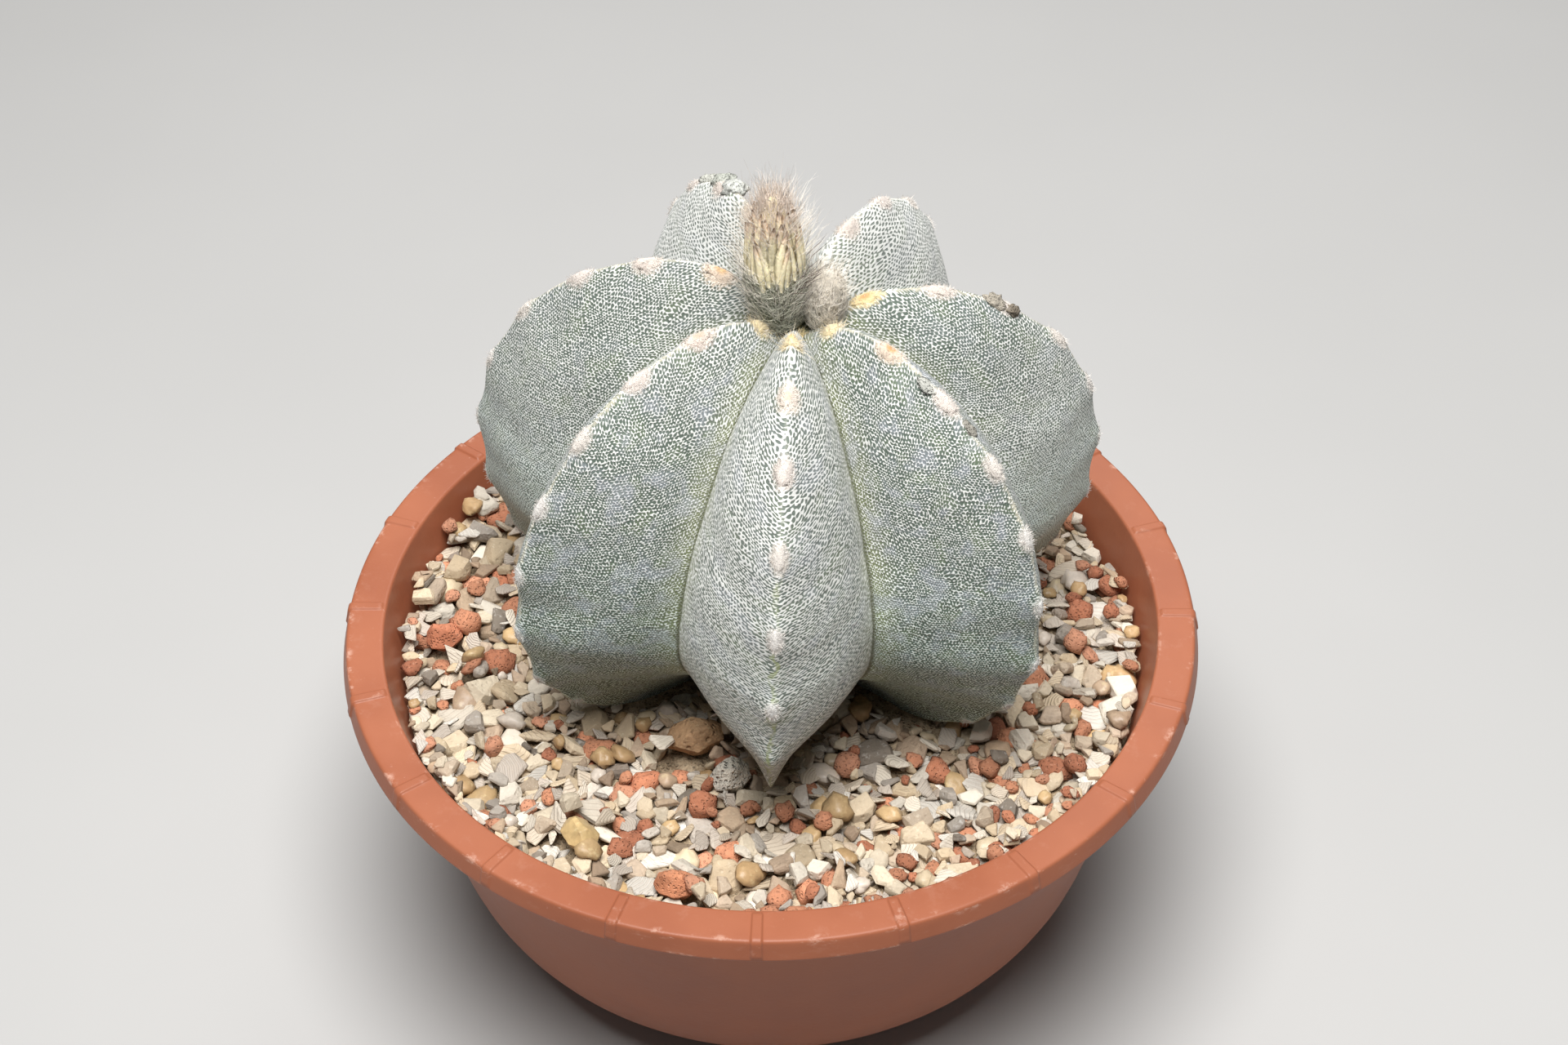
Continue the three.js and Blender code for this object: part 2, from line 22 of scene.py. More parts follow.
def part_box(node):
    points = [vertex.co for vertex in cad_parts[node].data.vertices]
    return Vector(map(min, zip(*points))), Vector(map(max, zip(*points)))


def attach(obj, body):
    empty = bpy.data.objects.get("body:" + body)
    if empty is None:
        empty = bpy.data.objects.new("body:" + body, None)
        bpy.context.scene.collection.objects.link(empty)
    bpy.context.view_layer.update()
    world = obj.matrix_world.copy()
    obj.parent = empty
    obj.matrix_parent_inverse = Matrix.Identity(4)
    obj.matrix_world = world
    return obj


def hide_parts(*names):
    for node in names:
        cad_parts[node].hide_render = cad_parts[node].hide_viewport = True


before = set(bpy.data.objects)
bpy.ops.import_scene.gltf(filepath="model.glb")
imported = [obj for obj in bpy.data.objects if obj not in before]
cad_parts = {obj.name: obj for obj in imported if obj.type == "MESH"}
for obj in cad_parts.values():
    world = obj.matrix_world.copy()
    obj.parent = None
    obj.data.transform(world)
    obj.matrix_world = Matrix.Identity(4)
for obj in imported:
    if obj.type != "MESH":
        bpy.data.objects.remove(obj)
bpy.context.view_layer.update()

Array = NDArray[np.float64]
Faces = NDArray[np.int64]
Pair = tuple[float, float]
Triple = tuple[float, float, float]
Colour = Triple
Piece = bpy.types.Object
Chance = np.random.Generator

LOG = logging.getLogger("potted_cactus")
MM = 0.001
TURN = 2 * math.pi
SEED = 7
BODY = "root"


def srgb(red: float, green: float, blue: float) -> Colour:
    """Turns a colour as seen on a screen into linear light."""
    shares = [value / 255 for value in (red, green, blue)]
    return tuple(s / 12.92 if s <= 0.04045 else ((s + 0.055) / 1.055) ** 2.4 for s in shares)


def smooth(value: Array | float, low: float, high: float) -> Array:
    """Smooth step from 0 at low to 1 at high."""
    share = np.clip((np.asarray(value, float) - low) / (high - low), 0, 1)
    return share * share * (3 - 2 * share)


def unit(vectors: Array) -> Array:
    """Vectors of length 1 along the last axis."""
    return vectors / np.maximum(np.linalg.norm(vectors, axis=-1, keepdims=True), 1e-12)


def lumps(points: Array, size: float, shift: float = 0.0) -> Array:
    """Smooth random numbers in space, about -1 to 1."""
    return np.array([noise.noise(Vector(p)) for p in (points / size + shift).tolist()])


def polar(radius: Array, angle: Array, height: Array) -> Array:
    """Points round an upright axis."""
    return np.stack(np.broadcast_arrays(radius * np.cos(angle), radius * np.sin(angle), height), axis=-1)


def around(count: int) -> Array:
    """Even angles all round, in radians."""
    return np.linspace(0, TURN, count, endpoint=False)


# Meshes


@dataclass
class Heap:
    """Many small shapes that become one mesh, with values and colours at their points."""

    points: list[Array] = field(default_factory=list)
    faces: list[Faces] = field(default_factory=list)
    values: dict[str, list[Array]] = field(default_factory=dict)
    count: int = 0

    def add(self, points: Array, faces: Faces, **values: Array | float | Sequence[float]) -> None:
        """Adds a shape.

        Args:
            points: Its points.
            faces: Its triangles, counted from its own first point.
            **values: A number or a colour for each point, or one for all of them.
        """
        self.points.append(points)
        self.faces.append(faces + self.count)
        for name, value in values.items():
            found = np.asarray(value, float)
            wide = found.ndim > 0 and found.shape[-1] == 3
            shape = (len(points), 3) if wide else (len(points),)
            self.values.setdefault(name, []).append(np.broadcast_to(found, shape))
        self.count += len(points)

    def piece(self, name: str, soft: bool = True) -> Piece:
        """The heap as one object, without a material, shaded smooth if soft."""
        values = {key: np.concatenate(found) for key, found in self.values.items()}
        return piece_of(name, np.concatenate(self.points), np.concatenate(self.faces), values, soft=soft)


def piece_of(name: str, points: Array, faces: Faces, values: dict[str, Array] | None = None,
             map_points: Array | None = None, soft: bool = True) -> Piece:
    """Makes an object in the scene from points and faces.

    Args:
        name: The piece's name.
        points: Its points, in millimetres.
        faces: Rows of three or four point numbers.
        values: A number or a colour for each point, by name.
        map_points: A place on the flat map "skin" for each corner of each face.
        soft: Whether its faces are shaded smooth.

    Returns:
        The object.
    """
    mesh = bpy.data.meshes.new(name)
    mesh.from_pydata((points * MM).tolist(), [], faces.tolist())
    for key, data in (values or {}).items():
        if data.ndim == 1:
            mesh.attributes.new(key, "FLOAT", "POINT").data.foreach_set("value", data.astype(np.float32))
        else:
            rgba = np.concatenate([data, np.ones((len(data), 1))], axis=1)
            layer = mesh.attributes.new(key, "FLOAT_COLOR", "POINT")
            layer.data.foreach_set("color", rgba.astype(np.float32).ravel())
    if map_points is not None:
        layer = mesh.uv_layers.new(name="skin")
        layer.uv.foreach_set("vector", map_points.astype(np.float32).ravel())
    mesh.polygons.foreach_set("use_smooth", np.full(len(faces), soft))
    mesh.update()
    return linked(name, mesh)


def linked(name: str, data: bpy.types.ID) -> Piece:
    """An object in the scene with some data.

    Args:
        name: Its name.
        data: Its data.

    Returns:
        The object.
    """
    made = bpy.data.objects.new(name, data)
    bpy.context.scene.collection.objects.link(made)
    return made


def fit(piece: Piece, finish: "Finish", slot: str, *nodes: str) -> Piece:
    """Dresses a piece, lets it ride on the body and hides the CAD nodes it stands for.

    Args:
        piece: The piece.
        finish: Its finish.
        slot: The record's material slot; not used.
        *nodes: The CAD nodes that it replaces.

    Returns:
        The piece.
    """
    piece.data.materials.clear()
    piece.data.materials.append(finish.material())
    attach(piece, BODY)
    if nodes:
        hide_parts(*nodes)
    LOG.info("%s: %d faces, in %s", piece.name, len(piece.data.polygons), finish.name)
    return piece


def grid_faces(rows: int, columns: int) -> Faces:
    """Quads of a grid whose last column joins the first.

    Args:
        rows: How many rows of points.
        columns: How many points in a row.

    Returns:
        Four point numbers a face, outward where columns turn anticlockwise downwards.
    """
    row, column = np.meshgrid(np.arange(rows - 1), np.arange(columns), indexing="ij")
    after = (column + 1) % columns
    here, below = row * columns, (row + 1) * columns
    return np.stack([here + column, below + column, below + after, here + after], axis=-1).reshape(-1, 4)


def triangles(quads: Faces) -> Faces:
    """Two triangles for each quad."""
    return np.concatenate([quads[:, [0, 1, 2]], quads[:, [0, 2, 3]]])


def fan(tip: int, ring: Faces, flip: bool = False) -> Faces:
    """Triangles from a point to a closed ring of points.

    Args:
        tip: The point's number.
        ring: The ring's point numbers, in order.
        flip: Whether the triangles face the other way.

    Returns:
        Three point numbers a face.
    """
    after = np.roll(ring, -1)
    first, second = (after, ring) if flip else (ring, after)
    return np.stack([np.full(len(ring), tip), first, second], axis=-1)


def capped(rows: int, columns: int, flip: bool = False) -> Faces:
    """Triangles of a closed grid with a fan at each end.

    Args:
        rows: How many rows of points.
        columns: How many points in a row.
        flip: Whether the triangles face the other way.

    Returns:
        Three point numbers a face; the two tips come after the grid's points.
    """
    count = rows * columns
    sides = grid_faces(rows, columns)[:, ::-1 if flip else 1]
    return np.concatenate([triangles(sides), fan(count, np.arange(columns), flip),
                           fan(count + 1, np.arange(count - columns, count), not flip)])


def tubes(paths: Array, radius: float, tip: float = 0.15) -> tuple[Array, Faces]:
    """Thin three-sided strands that narrow towards their tips.

    Args:
        paths: Centre lines, as strands by steps by three.
        radius: Radius at the root.
        tip: Share of the radius that is left at the tip.

    Returns:
        Points and triangles.
    """
    count, steps, _ = paths.shape
    along = unit(np.gradient(paths, axis=1))
    helper = np.where(np.abs(along[..., 2:]) < 0.9, [0.0, 0.0, 1.0], [1.0, 0.0, 0.0])
    side = unit(np.cross(along, helper))
    other = np.cross(along, side)
    reach = (radius * (1 - (1 - tip) * np.linspace(0, 1, steps) ** 1.4))[:, None]
    turns = [TURN * k / 3 for k in range(3)]
    ring = np.stack([paths + reach * (math.cos(a) * side + math.sin(a) * other) for a in turns], axis=2)
    ends = np.array([[0, 1, 2], [3 * steps - 1, 3 * steps - 2, 3 * steps - 3]])
    one = np.concatenate([triangles(grid_faces(steps, 3)[:, ::-1]), ends])
    faces = (one[None] + (np.arange(count) * 3 * steps)[:, None, None]).reshape(-1, 3)
    return ring.reshape(-1, 3), faces


def bent(roots: Array, ways: Array, lengths: Array, curl: float, random: Chance, steps: int = 4) -> Array:
    """Paths of strands that leave their roots straight and bend more towards their tips.

    Args:
        roots: Where the strands start.
        ways: Their directions, of length 1.
        lengths: Their lengths.
        curl: How far they bend, as a share of their length.
        random: The source of chance.
        steps: Points on each path.

    Returns:
        Paths, as strands by steps by three.
    """
    t = np.linspace(0, 1, steps)[None, :, None]
    drift = random.normal(size=(len(roots), 1, 3)) * curl
    sway = random.normal(size=(len(roots), 1, 3)) * curl * 0.5
    length = lengths[:, None, None]
    return roots[:, None] + length * (ways[:, None] * t + drift * t ** 2 + sway * np.sin(TURN * t) * t)


def shades(colour: Array, steps: int) -> Array:
    """Repeats one colour a strand for each point of a three-sided strand."""
    return np.repeat(colour, steps * 3, axis=0)


def arrays_of(work: bmesh.types.BMesh) -> tuple[Array, Faces]:
    """Points and triangles of a worked mesh, which is freed.

    Args:
        work: The mesh.

    Returns:
        Points and triangles.
    """
    points = np.array([v.co[:] for v in work.verts], float)
    faces = np.array([[v.index for v in f.verts] for f in work.faces], np.int64)
    work.free()
    return points, faces


def hull_shape(points: Array, bevel: float) -> tuple[Array, Faces]:
    """The hull of some points, with its edges worn round.

    Args:
        points: The points.
        bevel: How wide the worn edges are.

    Returns:
        Points and triangles.
    """
    work = bmesh.new()
    for point in points.tolist():
        work.verts.new(point)
    bmesh.ops.convex_hull(work, input=work.verts[:])
    bmesh.ops.delete(work, geom=[v for v in work.verts if not v.link_faces], context="VERTS")
    bmesh.ops.dissolve_limit(work, angle_limit=math.radians(9), verts=work.verts[:], edges=work.edges[:])
    bmesh.ops.bevel(work, geom=work.edges[:], offset=bevel, segments=1, affect="EDGES", clamp_overlap=True)
    bmesh.ops.triangulate(work, faces=work.faces[:])
    return arrays_of(work)


def ball(rings: int, sides: int) -> tuple[Array, Faces]:
    """A round body of radius 1.

    Args:
        rings: Rings of points between the poles.
        sides: Points in a ring.

    Returns:
        Points and triangles.
    """
    high = math.pi / 2 - math.pi * (np.arange(rings) + 1) / (rings + 1)
    turn = TURN * np.arange(sides) / sides
    ring = polar(np.cos(high)[:, None], turn, np.sin(high)[:, None]).reshape(-1, 3)
    return np.concatenate([ring, [[0, 0, 1.0], [0, 0, -1.0]]]), capped(rings, sides)


# Shader nodes


class Kind(Enum):
    """Kinds of socket on a shared effect."""

    VALUE = "NodeSocketFloat"
    VECTOR = "NodeSocketVector"


Socket = bpy.types.NodeSocket
Input = Socket | float | Sequence[float]
Inputs = dict[str | int, Input]


class Pen:
    """Draws shader nodes on one tree."""

    def __init__(self, tree: bpy.types.NodeTree) -> None:
        """Takes the tree to draw on."""
        self.tree = tree

    def node(self, kind: str, inputs: Inputs | None = None, **settings: object) -> bpy.types.Node:
        """Adds a node.

        Args:
            kind: The node's type, without "ShaderNode".
            inputs: What goes into its sockets.
            **settings: The node's own settings.

        Returns:
            The node.
        """
        made = self.tree.nodes.new("ShaderNode" + kind)
        for key, value in settings.items():
            setattr(made, key, value)
        for key, value in (inputs or {}).items():
            self.feed(made.inputs[key], value)
        return made

    def feed(self, socket: Socket, value: Input) -> None:
        """Links a socket into another, or sets its constant.

        Args:
            socket: The socket that takes the value.
            value: A socket, a number or a colour.
        """
        if isinstance(value, Socket):
            self.tree.links.new(value, socket)
        elif socket.type == "RGBA" and not isinstance(value, float):
            socket.default_value = (*value[:3], 1.0)
        else:
            socket.default_value = value

    def math(self, operation: str, first: Input, second: Input = 0.0) -> Socket:
        """One sum on numbers: the operation on first and second."""
        return self.node("Math", {0: first, 1: second}, operation=operation).outputs[0]

    def times(self, first: Input, *others: Input) -> Socket:
        """The product of some numbers.

        Args:
            first: A number.
            *others: More numbers.

        Returns:
            The product.
        """
        for other in others:
            first = self.math("MULTIPLY", first, other)
        return first

    def plus(self, first: Input, *others: Input) -> Socket:
        """The sum of some numbers.

        Args:
            first: A number.
            *others: More numbers.

        Returns:
            The sum.
        """
        for other in others:
            first = self.math("ADD", first, other)
        return first

    def swing(self, cloud: Input, reach: Input) -> Socket:
        """Cloudy noise made to swing about 0, a whole reach from end to end."""
        return self.times(self.math("SUBTRACT", cloud, 0.5), reach)

    def step(self, value: Input, low: Input, high: Input, start: float = 0.0, end: float = 1.0) -> Socket:
        """Smooth step of a number."""
        ends = {"Value": value, "From Min": low, "From Max": high, "To Min": start, "To Max": end}
        return self.node("MapRange", ends, interpolation_type="SMOOTHSTEP").outputs["Result"]

    def noise(self, vector: Input, scale: Input, detail: float = 2.0, rough: float = 0.5,
              flat: bool = False, colour: bool = False) -> Socket:
        """Cloudy noise.

        Args:
            vector: Where it is read.
            scale: How fine it is.
            detail: How many finer layers it has.
            rough: How strong those are.
            flat: Whether it is read in two dimensions.
            colour: Whether three numbers are wanted.

        Returns:
            The noise, about 0.5 in the middle.
        """
        made = self.node("TexNoise", {"Vector": vector, "Scale": scale, "Detail": detail, "Roughness": rough},
                         noise_dimensions="2D" if flat else "3D")
        return made.outputs["Color" if colour else "Fac"]

    def cells(self, vector: Input, scale: Input) -> Socket:
        """Distances from the middles of uneven cells."""
        return self.node("TexVoronoi", {"Vector": vector, "Scale": scale}).outputs["Distance"]

    def mix(self, share: Input, first: Input, second: Input, blend: str = "MIX") -> Socket:
        """A colour between two, or blended from both."""
        ends = {0: share, 6: first, 7: second}
        return self.node("Mix", ends, data_type="RGBA", blend_type=blend).outputs[2]

    def between(self, share: Input, first: Input, second: Input) -> Socket:
        """A number between two."""
        return self.node("Mix", {0: share, 2: first, 3: second}, data_type="FLOAT").outputs[0]

    def shaded(self, colour: Input, tone: Socket) -> Socket:
        """A colour made lighter or darker by a number about 1."""
        grey = self.node("CombineColor", {0: tone, 1: tone, 2: tone}).outputs[0]
        return self.mix(1.0, colour, grey, "MULTIPLY")

    def attribute(self, name: str, colour: bool = False) -> Socket:
        """A number or colour that the mesh carries at its points."""
        return self.node("Attribute", attribute_name=name).outputs["Color" if colour else "Fac"]

    def vector(self, operation: str, inputs: Inputs) -> Socket:
        """One sum on vectors: the operation on the inputs."""
        return self.node("VectorMath", inputs, operation=operation).outputs[0]

    def shift(self, vector: Input, colour: Input, reach: float) -> Socket:
        """A vector, moved by a cloudy colour by up to half a reach each way."""
        centred = self.vector("SUBTRACT", {0: colour, 1: (0.5, 0.5, 0.5)})
        return self.vector("ADD", {0: vector, 1: self.vector("SCALE", {0: centred, "Scale": reach})})

    def place(self) -> Socket:
        """The place on the object, in metres."""
        return self.node("TexCoord").outputs["Object"]

    def bump(self, height: Input, distance: float, strength: float = 1.0, below: Input | None = None) -> Socket:
        """A normal that is tilted by a height.

        Args:
            height: The height, from 0 to 1.
            distance: What a height of 1 measures, in metres.
            strength: How much of it shows.
            below: Another tilted normal below it.

        Returns:
            The normal.
        """
        inputs: Inputs = {"Height": height, "Distance": distance, "Strength": strength}
        if below is not None:
            inputs["Normal"] = below
        return self.node("Bump", inputs).outputs["Normal"]

    def effect(self, shared: "Effect", **inputs: Input) -> dict[str, Socket]:
        """Places a shared effect.

        Args:
            shared: The effect.
            **inputs: What goes into its named inputs.

        Returns:
            Its outputs, by name.
        """
        made = self.tree.nodes.new("ShaderNodeGroup")
        made.node_tree = shared.tree()
        for key, value in inputs.items():
            self.feed(made.inputs[key], value)
        return {socket.name: socket for socket in made.outputs}


@dataclass(frozen=True)
class Effect:
    """An effect that several finishes share: a node group that is built once and puts out numbers."""

    name: str
    inputs: dict[str, Kind]
    outputs: tuple[str, ...]
    draw: Callable[[Pen, dict[str, Socket]], Inputs]

    def tree(self) -> bpy.types.NodeTree:
        """The effect's node group.

        Returns:
            The node group.
        """
        found = bpy.data.node_groups.get(self.name)
        if found:
            return found
        made = bpy.data.node_groups.new(self.name, "ShaderNodeTree")
        for name, kind in self.inputs.items():
            made.interface.new_socket(name=name, in_out="INPUT", socket_type=kind.value)
        for name in self.outputs:
            made.interface.new_socket(name=name, in_out="OUTPUT", socket_type=Kind.VALUE.value)
        entry, leave = made.nodes.new("NodeGroupInput"), made.nodes.new("NodeGroupOutput")
        pen = Pen(made)
        for name, value in self.draw(pen, {socket.name: socket for socket in entry.outputs}).items():
            pen.feed(leave.inputs[name], value)
        return made


def draw_grain(pen: Pen, given: dict[str, Socket]) -> Inputs:
    """Cloudy grain in two sizes with fine pits: one tone and one height.

    Args:
        pen: The pen of the node tree.
        given: The effect's inputs, by name.

    Returns:
        Its outputs, by name.
    """
    place, scale = given["Place"], given["Scale"]
    coarse = pen.noise(place, scale, 4.0, 0.6)
    fine = pen.noise(place, pen.times(scale, 5.0), 3.0, 0.65)
    pits = pen.step(pen.cells(place, pen.times(scale, 2.6)), 0.12, 0.42)
    tone = pen.plus(pen.times(coarse, 0.6), pen.times(fine, 0.4))
    return {"Tone": tone, "Height": pen.plus(tone, pen.times(pits, given["Pits"]))}


GRAIN = Effect("fine_grain", {"Place": Kind.VECTOR, "Scale": Kind.VALUE, "Pits": Kind.VALUE},
               ("Tone", "Height"), draw_grain)


def draw_flecks(pen: Pen, given: dict[str, Socket]) -> Inputs:
    """Dots of felt that run into short wavy dashes as Merge grows: three crossed waves, often out of step.

    Args:
        pen: The pen of the node tree.
        given: The effect's inputs, by name.

    Returns:
        Its outputs, by name.
    """
    flat, merge, level = given["Map"], given["Merge"], given["Level"]
    place = pen.shift(flat, pen.noise(flat, 0.16, 2.0, 0.45, flat=True, colour=True), 2.4)
    steps = pen.noise(flat, 0.7, 1.0, 0.5, flat=True, colour=True)
    pace = pen.times(given["Density"], 7.26)
    waves = []
    for number, slip in enumerate(pen.node("SeparateColor", {0: steps}).outputs):
        turn = math.pi / 2 + TURN * number / 3
        way = (math.cos(turn), math.sin(turn), 0.0)
        along = pen.node("VectorMath", {0: place, 1: way}, operation="DOT_PRODUCT").outputs["Value"]
        waves.append(pen.math("COSINE", pen.plus(pen.times(along, pace), pen.times(slip, 6.0))))
    rows = pen.times(waves[0], pen.between(merge, 1.0, 1.25))
    across = pen.times(pen.plus(waves[1], waves[2]), pen.between(merge, 1.0, 0.85))
    joint = pen.noise(pen.vector("MULTIPLY", {0: place, 1: (0.9, 1.25, 1.0)}), 1.7, 1.0, flat=True)
    total = pen.plus(rows, across, pen.swing(joint, pen.between(merge, 3.8, 5.4)))
    soft = pen.between(merge, 1.05, 0.7)
    return {"Mask": pen.step(total, pen.math("SUBTRACT", level, soft), pen.plus(level, soft))}


FLECKS = Effect("felt_flecks", {"Map": Kind.VECTOR, "Density": Kind.VALUE, "Level": Kind.VALUE,
                                "Merge": Kind.VALUE}, ("Mask",), draw_flecks)


class Finish:
    """A procedural material. A finish names its constants and draws the rest."""

    name: str
    constants: dict[str, float] = {}

    def draw(self, pen: Pen) -> Inputs:
        """Draws the finish and gives what goes into the shader's sockets."""
        raise NotImplementedError

    def material(self) -> bpy.types.Material:
        """The finish as a material, made once.

        Returns:
            The material.
        """
        found = bpy.data.materials.get(self.name)
        if found:
            return found
        made = bpy.data.materials.new(self.name)
        made.use_nodes = True
        made.node_tree.nodes.clear()
        pen = Pen(made.node_tree)
        shader = pen.node("BsdfPrincipled", dict(self.constants))
        for socket, value in self.draw(pen).items():
            pen.feed(shader.inputs[socket], value)
        pen.node("OutputMaterial", {"Surface": shader.outputs["BSDF"]})
        return made


@dataclass(frozen=True)
class SkinFinish(Finish):
    """Green skin under dense pale flecks of felt, with cream crests, painted shade in the grooves and painted shade
    low on the flanks.
    """

    name: str = "felted_skin"
    dark: Colour = srgb(86, 98, 88)
    leaf: Colour = srgb(110, 124, 90)
    groove_green: Colour = srgb(132, 136, 100)
    fleck: Colour = srgb(227, 227, 222)
    felt: Colour = srgb(192, 194, 189)
    violet: Colour = srgb(178, 180, 196)
    cream: Colour = srgb(228, 218, 196)
    line: Colour = srgb(160, 168, 118)
    # painted shade: multiplies the skin low on the flanks, making it less red and more green-blue
    low_flank_painted_shade: Colour = (0.84, 1.22, 1.14)
    groove_painted_shade: Colour = srgb(84, 88, 62)
    density: float = 1.75
    constants = {"Specular IOR Level": 0.25, "Sheen Weight": 0.12, "Sheen Roughness": 0.5}

    def draw(self, pen: Pen) -> Inputs:
        """Flecks on green, paler with felt (partly painted light on some ribs), with the crest drawn in and painted
        shade in the groove and low on the flanks.

        Args:
            pen: The pen of the node tree.

        Returns:
            The shader's inputs, by name.
        """
        flat = pen.node("UVMap", uv_map="skin").outputs["UV"]
        crest, groove, felted = (pen.attribute(name) for name in ("crest", "groove", "felt"))

        def cloud(scale: float, detail: float = 2.0, rough: float = 0.5) -> Socket:
            """Noise on the skin's flat map."""
            return pen.noise(flat, scale, detail, rough, flat=True)

        merge = pen.step(pen.plus(pen.attribute("dashed"), pen.swing(cloud(0.11, 3.0, 0.55), 0.9)), 0.2, 0.85)
        level = pen.between(felted, 0.62, -0.55)
        flecks = pen.effect(FLECKS, Map=flat, Density=self.density, Level=level, Merge=merge)["Mask"]
        ground = pen.mix(pen.step(cloud(0.21), 0.5, 0.72, 0.0, 0.4), self.dark, self.leaf)
        ground = pen.mix(pen.times(pen.step(groove, 6.5, 0.5), 0.7), ground, self.groove_green)
        # paler with felt; on the back ribs and the low side-back flanks this is partly painted light
        pale = pen.mix(pen.times(felted, 0.2), ground, self.felt)
        skin = pen.mix(pen.times(flecks, 0.9), pale, self.fleck)
        blue = pen.times(pen.step(cloud(0.2, 2.0, 0.6), 0.46, 0.74), pen.attribute("violet"), 0.32)
        skin = pen.mix(blue, skin, self.violet)
        skin = pen.shaded(skin, pen.step(cloud(0.06, 3.0, 0.6), 0.25, 0.75, 0.9, 1.06))
        ragged = pen.plus(crest, pen.swing(cloud(1.1, 3.0, 0.65), 1.9))
        worn = pen.step(cloud(0.3), 0.36, 0.6, 0.35, 1.0)
        rim = pen.times(pen.step(ragged, 0.85, 0.0), worn, pen.attribute("crest_line"), 0.62)
        skin = pen.mix(rim, skin, self.cream)
        sway = pen.swing(pen.noise(pen.place(), 300.0, 3.0, 0.6), 7.0)
        thread = pen.step(pen.math("ABSOLUTE", pen.plus(pen.attribute("thread"), sway)), 0.75, 0.2)
        skin = pen.mix(pen.times(thread, worn, pen.attribute("threaded"), 0.75), skin, self.line)
        frayed = pen.plus(pen.attribute("pad"), pen.swing(cloud(1.7, 3.0, 0.7), 1.3))
        pad = pen.times(pen.step(frayed, 1.6, 0.85), 0.85)
        skin = pen.mix(pad, skin, pen.attribute("pad_tint", colour=True))
        # painted shade: the low flanks are tinted by the deep attribute
        skin = pen.mix(pen.attribute("deep"), skin, pen.mix(1.0, skin, self.low_flank_painted_shade, "MULTIPLY"))
        # painted shade: a dark olive line along the bottom of each groove
        skin = pen.mix(pen.step(groove, 0.75, 0.1, 0.0, 0.8), skin, self.groove_painted_shade)
        relief = pen.bump(flecks, 0.00016, 0.7, pen.bump(cloud(0.5, 4.0, 0.6), 0.0006, 0.5))
        return {"Base Color": skin, "Normal": relief, "Roughness": pen.step(flecks, 0.0, 1.0, 0.62, 0.95)}


@dataclass(frozen=True)
class TintFinish(Finish):
    """A rough finish coloured by the mesh's own tint, with grain, for wool, hair, scales and scabs."""

    name: str
    scale: float
    contrast: float
    relief: float
    roughness: float = 0.9
    sheen: float = 0.0
    pits: float = 0.2

    @property
    def constants(self) -> dict[str, float]:
        """Plain numbers of the finish."""
        return {"Roughness": self.roughness, "Specular IOR Level": 0.2, "Sheen Weight": self.sheen,
                "Sheen Roughness": 0.5}

    def draw(self, pen: Pen) -> Inputs:
        """The tint, lighter and darker by the grain.

        Args:
            pen: The pen of the node tree.

        Returns:
            The shader's inputs, by name.
        """
        grain = pen.effect(GRAIN, Place=pen.place(), Scale=self.scale, Pits=self.pits)
        tone = pen.step(grain["Tone"], 0.25, 0.75, 1 - self.contrast, 1 + self.contrast)
        colour = pen.shaded(pen.attribute("tint", colour=True), tone)
        return {"Base Color": colour, "Normal": pen.bump(grain["Height"], self.relief)}


@dataclass(frozen=True)
class StoneFinish(Finish):
    """Stone coloured by the mesh's own tint, mottled, speckled and banded."""

    name: str
    speckle: Colour
    scale: float = 420.0
    speckled: float = 0.3
    banded: float = 0.0
    contrast: float = 0.2
    relief: float = 0.0003
    pits: float = 0.3
    rough: Pair = (0.6, 0.9)
    constants = {"Specular IOR Level": 0.35}

    def draw(self, pen: Pen) -> Inputs:
        """Mottled tint with specks, growth bands and pits.

        Args:
            pen: The pen of the node tree.

        Returns:
            The shader's inputs, by name.
        """
        place = pen.place()
        grain = pen.effect(GRAIN, Place=place, Scale=self.scale, Pits=self.pits)
        tone = pen.step(grain["Tone"], 0.25, 0.75, 1 - self.contrast, 1 + self.contrast * 0.7)
        colour = pen.shaded(pen.attribute("tint", colour=True), tone)
        specks = pen.step(pen.noise(place, self.scale * 2.2, 3.0, 0.7), 0.56, 0.70)
        colour = pen.mix(pen.times(specks, self.speckled), colour, self.speckle)
        height = grain["Height"]
        if self.banded:
            bands = pen.step(pen.math("SINE", pen.attribute("band")), -0.2, 0.9)
            colour = pen.mix(pen.times(bands, self.banded), colour, self.speckle)
            height = pen.plus(height, pen.times(bands, 0.5))
        return {"Base Color": colour, "Normal": pen.bump(height, self.relief),
                "Roughness": pen.step(grain["Tone"], 0.3, 0.7, *self.rough)}


